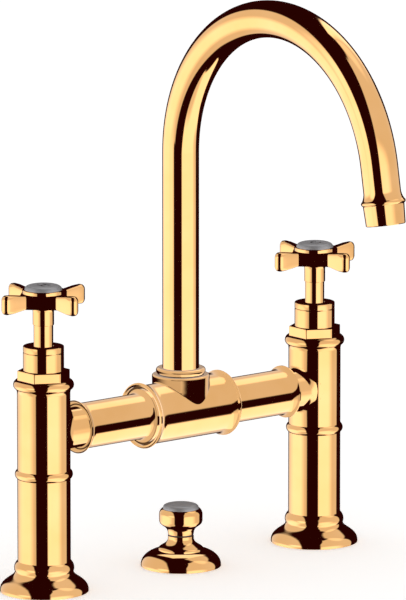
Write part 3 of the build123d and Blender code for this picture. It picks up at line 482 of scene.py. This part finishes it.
# %% [markdown]
# Now the gooseneck's own section. It goes up the outside of the wall, through the bend and out
# to the mouth, then back down the inside. The flare is an arc that leaves the tube smoothly and
# has climbed 1.3 mm when the bead starts. The bead is a low roll over the mouth's edge, and
# behind it a socket waits for the outlet. The bend gets a row of points every 2.5 degrees, close
# enough that a reflection runs along it without a kink.

# %% The gooseneck
tube_radius = 10.41 * MM
bore_radius = 8.95 * MM
bend_height = 238.8 * MM
bend_radius = 85.6 * MM
bend_angle = radians(170)
flare_start = 13.8 * MM
flare_rise = 1.34 * MM
bead_start = 18.8 * MM
bead_end = 21.2 * MM
bead_swell = 0.65 * MM
socket_radius = 9.9 * MM
socket_start = 16.5 * MM
bend_steps, flare_steps, bead_steps, tube_sides = 68, 10, 12, 94


def arc_points(start, end, rise, count):
    """Points of a shallow arc from start to end that swells by rise at its middle."""
    (r0, s0), (r1, s1) = start, end
    points = []
    for i in range(1, count):
        share = i / count
        swell = 4 * rise * share * (1 - share)
        points.append((r0 + (r1 - r0) * share + swell, s0 + (s1 - s0) * share))
    return points


tube_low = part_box("spout_tube")[0][2]
bend_length = bend_radius * bend_angle
bend_rows = [bend_height + bend_length * i / bend_steps for i in range(bend_steps + 1)]
mouth = bend_height + bend_length
flare_length = bead_start - flare_start
flare_curve = (flare_length**2 + flare_rise**2) / (2 * flare_rise)

section = [(tube_radius, tube_low)]
section += [(tube_radius, s) for s in bend_rows]
for i in range(flare_steps + 1):
    along = flare_length * i / flare_steps
    climb = flare_curve - sqrt(flare_curve**2 - along**2)
    section.append((tube_radius + climb, mouth + flare_start + along))
bead_root = (tube_radius + flare_rise, mouth + bead_start)
bead_tip = (tube_radius + flare_rise, mouth + bead_end)
section += arc_points(bead_root, bead_tip, bead_swell, bead_steps)
section += [bead_tip, (socket_radius, mouth + bead_end), (socket_radius, mouth + socket_start)]
section += [(bore_radius, mouth + socket_start)]
section += [(bore_radius, s) for s in reversed(bend_rows)]
section += [(bore_radius, tube_low)]

gooseneck = turn_section(
    "gooseneck", section, tube_sides, gold, (bend_height, bend_radius, bend_angle)
)
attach(gooseneck, "spout")
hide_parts("spout_tube")

# %% [markdown]
# Each cap is a steel button: a level top, a broad rounded shoulder and a short straight edge
# that stands in the seat of its handle or knob, with a spigot below. A cylinder with a bevel
# would give a round shoulder too, but not one whose fullness can be set. So it is the same lathe
# work as the gooseneck, without the bend. Place and outer size come from the boxes of the CAD
# caps.

# %% Caps
# Powers below 1 make the shoulder fuller than a quarter ellipse, sideways and upwards
side_fullness, top_fullness = 0.9, 0.95
shoulder_steps = 12
handle_cap = {
    "edge": 1.3 * MM,
    "flat_radius": 7.0 * MM,
    "spigot_radius": 6.0 * MM,
    "spigot_depth": 1.4 * MM,
    "sink": 0.9 * MM,
}
knob_cap = {
    "edge": 1.6 * MM,
    "flat_radius": 7.2 * MM,
    "spigot_radius": 4.0 * MM,
    "spigot_depth": 1.0 * MM,
    "sink": 0.5 * MM,
}


def make_cap(node, body, edge, flat_radius, spigot_radius, spigot_depth, sink):
    """A button in the place of a CAD cap, with its top lower by sink. Returns that top."""
    low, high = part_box(node)
    top = high[2] - sink
    radius = (high[0] - low[0]) / 2
    seat = low[2] + spigot_depth
    shoulder = seat + edge
    points = [(0, low[2]), (spigot_radius, low[2]), (spigot_radius, seat), (radius, seat)]
    for i in range(shoulder_steps + 1):
        turn = pi / 2 * i / shoulder_steps
        out = flat_radius + (radius - flat_radius) * cos(turn) ** side_fullness
        points.append((out, shoulder + (top - shoulder) * sin(turn) ** top_fullness))
    points.append((0, top))
    piece = turn_section(node + "_button", points, ROUND, satin_steel)
    centre = Vector(((low[0] + high[0]) / 2, (low[1] + high[1]) / 2, 0))
    piece.data.transform(Matrix.Translation(centre))
    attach(piece, body)
    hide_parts(node)
    return centre + Vector((0, 0, top))


cap_tops = {}
for side in ("left", "right"):
    cap_tops[side] = make_cap(f"{side}_handle_cap", f"{side}_handle", **handle_cap)
make_cap("pull_knob_cap", "pull_rod_and_knob", **knob_cap)
print("cap tops at", {name: round(top.z, 4) for name, top in cap_tops.items()})

# %% [markdown]
# On each column sit a hexagon nut and, above it, the smooth sleeve over the valve. A cylinder
# with six vertices and a Bevel would make a nut, but the lathe tree is at hand: a section that
# is spun in only six steps is a hexagon bar. The nut's upright edges are rounded, and its rims
# are broken by a quarter of a millimetre. These thin edges catch the dark of the room and draw
# the lines round each flat. The sleeve has one fine V-shaped line cut near its top.

# %% Nuts and sleeves
nut_edge = 0.25 * MM
nut_corner = 0.6 * MM
# Corner radius of the nut's six-sided bore, whose flats clear the barrel of 9 mm radius
nut_bore = 10.45 * MM
sleeve_foot = 0.1 * MM
sleeve_crown = 0.4 * MM
sleeve_bore = 9.05 * MM
sleeve_roof = 2.4 * MM
stem_hole = 5.75 * MM
line_drop = 3.5 * MM
line_cut = 0.32 * MM


def middle_x(low, high):
    """The X of a box's centre."""
    return (low[0] + high[0]) / 2


def round_corners(piece, width, corner):
    """Round the edges past a corner in degrees, and keep the flats flat."""
    bevel = piece.modifiers.new("bevel", "BEVEL")
    bevel.limit_method = "ANGLE"
    bevel.angle_limit = radians(corner)
    bevel.width = width
    bevel.segments = 3
    bevel.harden_normals = True
    name = piece.name
    piece.name = name + "_sharp"
    return keep_mesh(piece, name)


def make_nut(side):
    """The hexagon nut on a column, with two flats square to the bridge."""
    low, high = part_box(f"{side}_hex_nut")
    radius = (high[1] - low[1]) / 2
    points = [(radius - nut_edge, low[2]), (radius, low[2] + nut_edge)]
    points += [(radius, high[2] - nut_edge), (radius - nut_edge, high[2])]
    points += [(nut_bore, high[2]), (nut_bore, low[2])]
    nut = round_corners(turn_section(f"{side}_nut", points, 6, gold), nut_corner, 50)
    lay = Matrix.Translation((middle_x(low, high), 0, 0)) @ Matrix.Rotation(radians(30), 4, "Z")
    nut.data.transform(lay)
    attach(nut, "mixer_body")
    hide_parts(f"{side}_hex_nut")


def make_sleeve(side):
    """The smooth sleeve over the valve's barrel."""
    low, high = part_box(f"{side}_cover")
    radius = (high[0] - low[0]) / 2
    line, roof = high[2] - line_drop, high[2] - sleeve_roof
    points = [(radius - sleeve_foot, low[2]), (radius, low[2] + sleeve_foot)]
    points += [(radius, line - line_cut), (radius - line_cut, line), (radius, line + line_cut)]
    for turn in (0, 0.4, 0.8, 1.2, pi / 2):
        out = radius - sleeve_crown * (1 - cos(turn))
        points.append((out, high[2] - sleeve_crown * (1 - sin(turn))))
    points += [(stem_hole, high[2]), (stem_hole, roof), (sleeve_bore, roof), (sleeve_bore, low[2])]
    sleeve = turn_section(f"{side}_sleeve", points, ROUND, gold)
    sleeve.data.transform(Matrix.Translation((middle_x(low, high), 0, 0)))
    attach(sleeve, "mixer_body")
    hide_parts(f"{side}_cover")


for side in ("left", "right"):
    make_nut(side)
    make_sleeve(side)

# %% [markdown]
# A cross handle starts as a casting: a turned neck and bezel, a square hub between them, and
# four arms at the hub's corners. Each arm grows taller towards its end and closes there like a
# thumb, rounded in plan and in height, and its broad sides are a little crowned from grinding.
# The arm is lofted through rounded rectangles. The last of them shrink along a quarter circle,
# which gives the thumb its round end. Then the parts are joined into one skin.

# %% Cross handles
# The neck rises from the handle's foot and sweeps out into the hub
neck_radius = 6.0 * MM
neck_edge = 0.2 * MM
neck_length = 7.5 * MM
sweep_radius = 3.125 * MM
sweep_angle = radians(73.7)
sweep_steps = 8
# The square hub starts this high above the foot
hub_foot = 10.5 * MM
hub_half = 12.4 * MM
hub_edge = 0.5 * MM
hub_bore = 8.0 * MM
# The bezel stands on the hub, sunk in a little, and has the seat of the cap in its top
core_radius = 8.25 * MM
bezel_height = 1.9 * MM
bezel_sunk = 0.5 * MM
bezel_radius = 11.8 * MM
bezel_edge = 0.3 * MM
seat_radius = 10.55 * MM
seat_depth = 1.2 * MM
# Inside: a well for the screw's head, the screw's hole and the socket for the stem
well_radius = 6.1 * MM
well_depth = 6.9 * MM
screw_hole = 2.6 * MM
stem_socket = 5.05 * MM
stem_roof = 8.9 * MM


def rounded_ring(half_thick, half_tall, corner, crown):
    """Points round a rectangle with round corners, whose broad sides swell by crown."""
    ring, steps = [], 6
    corner = min(corner, half_thick, half_tall)
    for across, up, start in ((1, 1, 0), (-1, 1, 1), (-1, -1, 2), (1, -1, 3)):
        for k in range(steps + 1):
            turn = (start + k / steps) * pi / 2
            y = across * (half_thick - corner) + corner * cos(turn)
            z = up * (half_tall - corner) + corner * sin(turn)
            ring.append((y * (1 - crown * (z / half_tall) ** 2 / half_thick), z))
    return ring


def make_arms(name, axis_height):
    """Four flared arms round the Z axis, each closed by itself."""
    root, flare_from, reach = 7.0 * MM, 14.5 * MM, 29.2 * MM
    thick, root_tall, tip_tall = 3.0 * MM, 3.8 * MM, 5.95 * MM
    corner, tip_corner, crown = 0.9 * MM, 2.2 * MM, 0.22 * MM
    end_round, end_drop, end_thick = 3.3 * MM, 3.0 * MM, 0.25 * MM
    end_steps = 10

    def tall_at(x):
        """Half the arm's height at x."""
        share = max(0, x - flare_from) / (reach - flare_from)
        return root_tall + (tip_tall - root_tall) * share

    rings = [(x, thick, tall_at(x), corner) for x in (root, flare_from, 19 * MM, 23 * MM)]
    for k in range(end_steps + 1):
        turn = pi / 2 * k / end_steps
        x = reach - end_round * (1 - sin(turn))
        half_thick = end_thick + (thick - end_thick) * cos(turn)
        rings.append((x, half_thick, tall_at(x) - end_drop * (1 - cos(turn)), tip_corner))
    shape = bmesh.new()
    for quarter in range(4):
        turn = Matrix.Rotation(quarter * pi / 2, 3, "Z")
        loops = []
        for x, *sizes in rings:
            ring = rounded_ring(*sizes, crown)
            loops.append([shape.verts.new(turn @ Vector((x, y, axis_height + z))) for y, z in ring])
        for low, high in zip(loops, loops[1:]):
            for i in range(len(low)):
                j = (i + 1) % len(low)
                shape.faces.new((low[i], low[j], high[j], high[i]))
        shape.faces.new(loops[0][::-1])
        shape.faces.new(loops[-1])
    bmesh.ops.recalc_face_normals(shape, faces=shape.faces[:])
    mesh = bpy.data.meshes.new(name)
    shape.to_mesh(mesh)
    shape.free()
    return new_object(name, mesh)


def core_section(base, top):
    """The turned middle of a handle: neck and bezel outside, well and socket inside."""
    sweep_start = base + neck_length
    bezel_foot = top - bezel_height - bezel_sunk
    core = [(neck_radius, base + neck_edge), (neck_radius, sweep_start)]
    for k in range(1, sweep_steps + 1):
        turn = sweep_angle * k / sweep_steps
        out = neck_radius + sweep_radius * (1 - cos(turn))
        core.append((out, sweep_start + sweep_radius * sin(turn)))
    core += [(core_radius, bezel_foot), (bezel_radius, bezel_foot)]
    core += [(bezel_radius, top - bezel_edge), (bezel_radius - bezel_edge, top)]
    core += [(seat_radius, top), (seat_radius, top - seat_depth)]
    core += [(well_radius, top - seat_depth), (well_radius, top - well_depth)]
    core += [(screw_hole, top - well_depth), (screw_hole, top - stem_roof)]
    core += [(stem_socket, top - stem_roof), (stem_socket, base)]
    core.append((neck_radius - neck_edge, base))
    return core


def make_cross(side):
    """The handle: its turned middle, a square hub and four arms, joined into one skin."""
    low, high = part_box(f"{side}_cross_handle")
    piece = turn_section(f"{side}_cross_core", core_section(low[2], high[2]), ROUND, gold)
    hub_low, hub_high = low[2] + hub_foot, high[2] - bezel_height
    corner = hub_half * sqrt(2)
    square = [(corner - hub_edge, hub_low), (corner, hub_low + hub_edge)]
    square += [(corner, hub_high - hub_edge), (corner - hub_edge, hub_high)]
    square += [(hub_bore, hub_high), (hub_bore, hub_low)]
    parts = [
        turn_section(f"{side}_cross_hub", square, 4, gold),
        make_arms(f"{side}_cross_arms", (hub_low + hub_high) / 2),
    ]
    for part in parts:
        join = piece.modifiers.new("join", "BOOLEAN")
        join.operation = "UNION"
        join.solver = "EXACT"
        join.object = part
    cross = keep_mesh(piece, f"{side}_cross")
    for part in parts:
        bpy.data.objects.remove(part)
    cross.data.materials.clear()
    cross.data.materials.append(gold)
    cross.data.transform(Matrix.Translation((middle_x(low, high), 0, 0)))
    soften(cross.data, 30)
    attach(cross, f"{side}_handle")
    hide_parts(f"{side}_cross_handle")
    volume = solid_volume(cross.data)
    print(f"{cross.name}: {len(cross.data.polygons)} faces, {volume * 1e6:.2f} cm3")


make_cross("left")
make_cross("right")

# %% [markdown]
# Where the stub of the bridge grows out of a pillar, the casting has a hollow fillet of 2.6 mm,
# and the polisher's wheel keeps it. In the picture it draws a dark crescent round the stub. Its
# section changes all the way round, because the pillar is round too: it starts on the stub, aims
# for the corner where stub and pillar meet, and lands on the pillar. That is a Bezier curve with
# the corner as its middle handle, so the ring is made of 96 such curves.

# %% Fillets at the stubs
# The sizes of pillar, stub and bridge are the CAD model's
pillar_radius = 14.95 * MM
stub_radius = 11.4 * MM
bridge_height = 90.5 * MM
fillet = 2.6 * MM
# The back of the ring is sunk into stub and pillar, so that no gap shows
stub_sunk, pillar_sunk = 0.4 * MM, 0.6 * MM
fillet_columns, fillet_steps = 96, 8


def pillar_skin(away, turn):
    """How far out the pillar's skin is, at a point this far away from the stub's axis."""
    return sqrt(pillar_radius**2 - (away * cos(turn)) ** 2)


def fillet_curve(turn):
    """The Bezier curve at one angle round the stub, closed by a point inside the metal."""
    start = (stub_radius, pillar_skin(stub_radius, turn) + fillet)
    corner = (stub_radius, pillar_skin(stub_radius, turn))
    end = (stub_radius + fillet, pillar_skin(stub_radius + fillet, turn))
    curve = []
    for k in range(fillet_steps + 1):
        t = k / fillet_steps
        weights = ((1 - t) ** 2, 2 * t * (1 - t), t**2)
        away = sum(w * p[0] for w, p in zip(weights, (start, corner, end)))
        out = sum(w * p[1] for w, p in zip(weights, (start, corner, end)))
        curve.append((away, out))
    curve.append((stub_radius - stub_sunk, end[1] - pillar_sunk))
    return curve


def make_fillet(side, way):
    """The hollow ring between a pillar and its stub, which points along way * X."""
    pillar_x = middle_x(*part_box(f"{side}_cover"))
    points, faces = [], []
    rows = fillet_steps + 2
    for i in range(fillet_columns):
        turn = 2 * pi * i / fillet_columns
        for away, out in fillet_curve(turn):
            up = bridge_height + away * sin(turn)
            points.append((pillar_x + way * out, away * cos(turn), up))
        here, there = i * rows, (i + 1) % fillet_columns * rows
        for k in range(rows):
            k2 = (k + 1) % rows
            faces.append((here + k, there + k, there + k2, here + k2)[::way])
    mesh = bpy.data.meshes.new(f"{side}_stub_fillet")
    mesh.from_pydata(points, [], faces)
    mesh.materials.append(gold)
    soften(mesh, 40)
    ring = new_object(f"{side}_stub_fillet", mesh)
    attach(ring, "mixer_body")
    print(ring.name, round(solid_volume(mesh) * 1e6, 3), "cm3")


make_fillet("left", 1)
make_fillet("right", -1)

# %% [markdown]
# The tee's two mouths end in a rolled rim: a round roll outside, and inside it a shallow hollow
# that runs in under the arm's collar. The roll catches the light all round, while the hollow
# stays dark above and bright below. Each rim is one closed section turned round the bridge.

# %% Rolled rims of the tee
# Points are (distance from the bridge's axis, distance from the tee's middle)
rim_centre = (17.6 * MM, 28.95 * MM)
rim_roll = 1.15 * MM
rim_lip = radians(78)
rim_foot = [(16.9 * MM, 29.68 * MM), (16.9 * MM, 28.4 * MM), (17.9 * MM, 27.6 * MM)]
rim_steps, rim_sides = 12, 120


def make_rim(side, way):
    """A rolled rim on the mouth of the tee that points along way * X."""
    roll = []
    for i in range(rim_steps + 1):
        turn = rim_lip * i / rim_steps
        roll.append((rim_centre[0] + rim_roll * cos(turn), rim_centre[1] + rim_roll * sin(turn)))
    rim = turn_section(f"{side}_tee_rim", roll + rim_foot, rim_sides, gold)
    lay = Matrix.Translation((0, 0, bridge_height)) @ Matrix.Rotation(way * pi / 2, 4, "Y")
    rim.data.transform(lay)
    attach(rim, "mixer_body")


make_rim("left", -1)
make_rim("right", 1)

# %% [markdown]
# The handles say which water they turn: an H on the left for hot and a C on the right for cold.
# On the real caps the letters are etched and filled with dark enamel that ends a hair above the
# steel. Blender's own font is plain enough. The text is made a mesh first and then moved to its
# place, so that its object stays at the origin like every other piece.

# %% Enamelled letters
enamel = make_worked("dark_enamel", ("#262628", "#303033"), 0.0, (0.18, 0.3), 1.0, depth=0.004)
letter_height = 6.0 * MM
# A capital of Blender's font is this share of the text's size
capital_share = 0.7
# The enamel reaches this far up and down from its middle, which lies a hair above the steel
enamel_half = 0.04 * MM
enamel_lift = 0.02 * MM


def make_letter(letter, body, top):
    """A thin enamelled letter lying on a cap."""
    text = bpy.data.curves.new("letter_" + letter, "FONT")
    text.body = letter
    text.size = letter_height / capital_share
    text.align_x = "CENTER"
    text.extrude = enamel_half
    source = new_object("letter_" + letter, text)
    piece = keep_mesh(source, "letter_" + letter)
    piece.data.transform(Matrix.Translation(top + Vector((0, -letter_height / 2, enamel_lift))))
    piece.data.materials.clear()
    piece.data.materials.append(enamel)
    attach(piece, body)
    print(piece.name, "is", round(piece.dimensions.x / MM, 1), "mm wide")


make_letter("H", "left_handle", cap_tops["left"])
make_letter("C", "right_handle", cap_tops["right"])

# %% [markdown]
# The studio. The background is a white that only camera, mirror and glass rays see at full
# strength, so the picture ends in white while the light on the object stays plain. More light
# would whiten it too, but would bleach the object as well.

# %% World
world = bpy.data.worlds.new("studio")
bpy.context.scene.world = world
world.use_nodes = True
tree = world.node_tree
tree.nodes.clear()
path = add_node(tree, "ShaderNodeLightPath").outputs
seen = path["Is Camera Ray"]
for ray in ("Is Glossy Ray", "Is Transmission Ray"):
    either = {0: seen, 1: path[ray]}
    seen = add_node(tree, "ShaderNodeMath", either, operation="MAXIMUM").outputs[0]
strength = add_node(tree, "ShaderNodeMapRange", {"Value": seen, "To Min": 0.85, "To Max": 1.0})
background = add_node(
    tree,
    "ShaderNodeBackground",
    {"Color": linear("#FFFFFF"), "Strength": strength.outputs["Result"]},
)
add_node(tree, "ShaderNodeOutputWorld", {"Surface": background.outputs[0]})
print("world:", world.name)

# %% [markdown]
# A plain white table, a hair below the deck line so that the two never share a surface. It
# keeps the soft shadow of the mixer. Camera rays see a little added glow on it, which brings the
# unshaded table up to the white of the background.

# %% Table
reach = 6.0
drop = -0.2 * MM
floor_mesh = bpy.data.meshes.new("floor")
floor_mesh.from_pydata(
    [(-reach, -reach, drop), (reach, -reach, drop), (reach, reach, drop), (-reach, reach, drop)],
    [],
    [(0, 1, 2, 3)],
)
floor = new_object("floor", floor_mesh)
material, tree = new_material("white_table")
path = add_node(tree, "ShaderNodeLightPath")
paint = add_node(tree, "ShaderNodeBsdfDiffuse", {"Color": linear("#FFFFFF")})
lift = add_node(tree, "ShaderNodeEmission", {"Color": linear("#FFFFFF"), "Strength": 0.2})
both = add_node(tree, "ShaderNodeAddShader", {0: paint.outputs[0], 1: lift.outputs[0]})
shader = add_node(
    tree,
    "ShaderNodeMixShader",
    {0: path.outputs["Is Camera Ray"], 1: paint.outputs[0], 2: both.outputs[0]},
)
finish_material(tree, shader)
floor_mesh.materials.append(material)
floor.visible_glossy = False
print("table:", floor.name)

# %% [markdown]
# The camera stands five metres away behind a long lens, 40 degrees to the left of straight
# ahead and 11 degrees above the level, as in the photograph. A long lens keeps upright lines
# nearly parallel.

# %% Camera
bearing = radians(40.08)
tilt = radians(11.03)
view_way = Vector((sin(bearing) * cos(tilt), cos(bearing) * cos(tilt), -sin(tilt)))
view_right = Vector((cos(bearing), -sin(bearing), 0))
view_up = view_right.cross(view_way)
aim = view_right * 12.59 * MM + view_up * 150.60 * MM
distance = 5137.6 * MM
focal_pixels = 9036.6
photo_height = 600
camera_data = bpy.data.cameras.new("camera")
camera_data.sensor_width = 36
camera_data.lens = focal_pixels / photo_height * camera_data.sensor_width
camera = new_object("camera", camera_data)
camera.location = aim - view_way * distance
camera.rotation_euler = view_way.to_track_quat("-Z", "Y").to_euler()
bpy.context.scene.camera = camera
print("lens:", round(camera_data.lens, 1), "mm")

# %% [markdown]
# Polished metal has no look of its own: it shows the room. In the picture the metal shows soft
# bright fields with dark gaps between them, and each group of parts has its own: tall dark bands
# on the upright pieces, one long dark band on the bridge, and a round field on the gooseneck. A
# photographer gets this by moving flags and softboxes between shots of the parts. Here each
# group gets its own tent, a sphere that only mirrors see, sixty metres out so that nothing but
# the direction of a ray decides what it meets. The tee's rims and the right stub's fillet have
# tents of their own. Light linking lets a tent shine for its own group alone, and a tent is
# clear as well as bright, so that the others see through it to theirs. A black tent outside
# them all keeps the white world off the metal.
#
# A tent is painted by a rule. For every point, given in degrees to the right of the camera and
# above the level, the rule says how bright the cloth is: 1 shows the gold as it is, 1.9 turns it
# to cream, and 0 is a dark flag. Fields have soft edges, a few degrees wide.

# %% Fields of light


def ramp(value, edge, soft):
    """0 below an edge and 1 above it, with a smooth climb of a given width."""
    share = min(max((value - edge) / soft + 0.5, 0.0), 1.0)
    return share * share * (3 - 2 * share)


def field(across, rise, left, right, low, high, soft=4.0):
    """A softbox with four soft edges."""
    sides = ramp(across, left, soft) * (1 - ramp(across, right, soft))
    return sides * ramp(rise, low, soft) * (1 - ramp(rise, high, soft))


def pool(across, rise, centre, reach):
    """A pool of light that fades from a centre to nothing at its reach."""
    away = sqrt(((across - centre[0]) / reach[0]) ** 2 + ((rise - centre[1]) / reach[1]) ** 2)
    return 1 - ramp(away, 0.8, 0.7)


def disc(across, rise, centre, reach, power):
    """A round or squarish softbox."""
    wide = abs((across - centre[0]) / reach[0]) ** power
    tall = abs((rise - centre[1]) / reach[1]) ** power
    return 1 - ramp((wide + tall) ** (1 / power), 1.0, 0.07)


def from_behind(across):
    """The same direction counted from 0 to 360, so that a field can lie behind the mixer."""
    return across if across > 0 else across + 360


def spout_room(across, rise):
    """What the gooseneck sees."""
    reach, power = ((50, 52), 2.0) if rise > -14 else ((56, 53), 3.0)
    pools = max(
        pool(across, rise, (-100, -18), (50, 27)), pool(across, rise, (-62, 8), (28, 30))
    )
    glow = disc(across, rise, (-94, -14), reach, power) * (1.03 + 0.87 * pools)
    left_edge = 3 + 8 * (1 - ramp(rise, -10, 40)) + 17 * (max(0, rise) / 70) ** 2
    high = field(across, rise, left_edge, 139, -8, 76)
    tint = 0.8 * pool(across, rise, (15, 6), (50, 16))
    tint += 0.4 * pool(across, rise, (122, 62), (30, 22))
    glow = max(glow, high * (1.0 + tint))
    step_up = 13 + max(0, across - 137) * 0.5
    step = field(across, rise, 130, 165, step_up, 76)
    glow = max(glow, step * (1.0 + 0.9 * ramp(across, 144, 16)))
    low = field(across, rise, left_edge, 109 + max(0, -rise - 35), -78, -9)
    shade = 0.8 * pool(across, rise, (22, -56), (30, 26))
    shade += 0.7 * pool(across, rise, (102, -14), (20, 12))
    return max(glow, low * (1.9 - shade))


def upright_room(across, rise):
    """What the pillars, handles and flanges see."""
    reach, power = ((60, 76), 2.5) if rise > -14 else ((59, 48), 4.0)
    pools = max(
        pool(across, rise, (-86, -14), (42, 17)),
        pool(across, rise, (-105, -28), (44, 26)),
        pool(across, rise, (-50, 4), (24, 11)),
    )
    glow = disc(across, rise, (-94, -14), reach, power) * (1.0 + 0.9 * pools)
    left_edge = 17 + 10 * (max(0, rise - 20) / 30) ** 2
    right = field(across, rise, left_edge, 115, -66, 70)
    pools = max(
        pool(across, rise, (42, -14), (42, 22)),
        pool(across, rise, (70, -42), (60, 28)),
        0.5 * pool(across, rise, (98, 54), (22, 18)),
    )
    glow = max(glow, right * (1.03 + 0.87 * pools))
    glow = max(glow, field(across, rise, 106, 162, 40, 74))
    glow = max(glow, 1.7 * field(across, rise, 108, 147, -63, -43))
    return max(glow, 1.6 * field(from_behind(across), rise, 158, 200, 36, 64))


def bridge_room(across, rise):
    """What the tee and the arms of the bridge see."""
    middle = 3 - 0.2 * across
    tall = 14.5 * min(ramp(across, -38, 24), 1 - ramp(across, 118, 16))
    dark = 1 - ramp(abs(rise - middle), max(tall, 0.1), 4)
    dark *= min(ramp(across, -46, 6), 1 - ramp(across, 124, 6))
    cream = max(
        0.9 * field(across, rise, 60, 156, -95, -29, 6),
        0.5 * field(across, rise, 0, 70, -95, -29, 16),
        0.8 * field(from_behind(across), rise, 128, 170, 36, 70, 12),
    )
    edge = pool(from_behind(across), rise, (180, -11), (36, 28))
    neck = field(across, rise, -180, 0, -30, 4) * (1 - 0.85 * ramp(across, -82, 70))
    return (1 - dark) * (1 - edge) * (1 - neck) * (0.97 + cream)


def rim_room(across, rise):
    """What the tee's rolled rims see: gold all round, and a dark floor for their hollows."""
    edge = pool(from_behind(across), rise, (180, -11), (30, 22))
    hollow = field(across, rise, -150, -50, -70, -36, 6)
    band = field(across, rise, 0, 118, -20, 2)
    cream = 0.5 * field(across, rise, -180, 180, -29, 10, 20)
    return (1 - hollow) * (1 - edge) * (1 - band) * (1.0 + cream)


def crescent_room(across, rise):
    """What the fillet round the right stub sees: the pillars' light, dark above and below."""
    return upright_room(across, rise) * ramp(rise, -42, 12) * (1 - ramp(rise, 20, 12))


above = [round(room(0, 30), 2) for room in (spout_room, upright_room, bridge_room)]
print("cloth 30 degrees above the level, on the camera's side:", above)

# %% [markdown]
# The tents themselves. A sphere of points one and a half degrees apart carries the rule's value
# as an attribute, and its material turns that into light. A painted image would do as well, but
# it would have to be unwrapped onto the sphere. The dark cloth is not quite black: it gives the
# deep red-brown that gold shows in its shadows.

# %% Tents
TENT = 60.0
TENT_STEP = 1.5
DARK_CLOTH = "#2C0706"
WHITE_CLOTH = "#FFFFFF"


def tent_mesh(name, reach, room):
    """A sphere that carries the brightness of its cloth at every point."""
    columns, rows = round(360 / TENT_STEP), round(180 / TENT_STEP)
    points, faces, glows = [], [], []
    for j in range(rows + 1):
        rise = -90 + TENT_STEP * j
        level_reach, up = reach * cos(radians(rise)), reach * sin(radians(rise))
        for i in range(columns):
            across = -180 + TENT_STEP * i
            turn = radians(across) - bearing
            points.append((sin(turn) * level_reach, -cos(turn) * level_reach, up))
            glows.append(room(across, rise) if room else 0.0)
    for j in range(rows):
        for i in range(columns):
            k, n = j * columns + i, j * columns + (i + 1) % columns
            faces.append((k, n, n + columns, k + columns))
    mesh = bpy.data.meshes.new(name)
    mesh.from_pydata(points, [], faces)
    mesh.attributes.new("glow", "FLOAT", "POINT").data.foreach_set("value", glows)
    return mesh


def make_tent(name, reach, room, lit):
    """A painted sphere that shines only for the pieces in lit, or a black one without a room."""
    mesh = tent_mesh(name, reach, room)
    tent = new_object(name, mesh)

    material, tree = new_material(name)
    glow = add_node(tree, "ShaderNodeAttribute", attribute_name="glow").outputs["Fac"]
    bright = add_node(
        tree, "ShaderNodeEmission", {"Color": linear(WHITE_CLOTH), "Strength": glow}
    )
    if room:
        dark = add_node(tree, "ShaderNodeEmission", {"Color": linear(DARK_CLOTH)})
        cloth = add_node(tree, "ShaderNodeAddShader", {0: bright.outputs[0], 1: dark.outputs[0]})
        clear = add_node(tree, "ShaderNodeBsdfTransparent")
        bright = add_node(tree, "ShaderNodeAddShader", {0: cloth.outputs[0], 1: clear.outputs[0]})
    finish_material(tree, bright)
    material.cycles.emission_sampling = "NONE"
    mesh.materials.append(material)
    tent.visible_camera = False
    tent.visible_diffuse = False
    tent.visible_shadow = False
    if room:
        receivers = bpy.data.collections.new("lit_by_" + name)
        for piece in lit:
            receivers.objects.link(piece)
        tent.light_linking.receiver_collection = receivers
    print(name, f"shines for {len(lit)} pieces" if room else "hangs behind the others")


def named(*names):
    """The shown pieces that have these names."""
    return [thing for thing in shown if thing.name in names]


shown = [thing for thing in bpy.data.objects if thing.type == "MESH" and thing is not floor]
bridge = named("tee_body", "left_bridge_arm", "right_bridge_arm", "spout_foot")
spout = named("gooseneck", "aerator_housing", "aerator_insert", "aerator_screen")
rims = named("left_tee_rim", "right_tee_rim")
crescent = named("right_stub_fillet")
upright = [thing for thing in shown if thing not in bridge + spout + rims + crescent]
make_tent("spout_tent", TENT, spout_room, spout)
make_tent("upright_tent", TENT + 0.5, upright_room, upright)
make_tent("bridge_tent", TENT + 1.0, bridge_room, bridge)
make_tent("rim_tent", TENT + 1.5, rim_room, rims)
make_tent("crescent_tent", TENT + 2.0, crescent_room, crescent)
make_tent("black_tent", TENT + 2.5, None, [])

# %% [markdown]
# In the photograph no part of the mixer is mirrored in another: every surface shows the room
# alone, which keeps its bands long and clean. So the pieces are hidden from each other's mirror
# rays. They still shade one another and the table in diffuse light.

# %% Keep the reflections clean
for piece in shown:
    piece.visible_glossy = False
print("pieces hidden from mirror rays:", len(shown))

# %% [markdown]
# The picture is shown plainly, with the Standard view transform. The dressed mixer may not grow
# past the CAD model.

# %% Show the picture plainly
bpy.context.scene.view_settings.view_transform = "Standard"
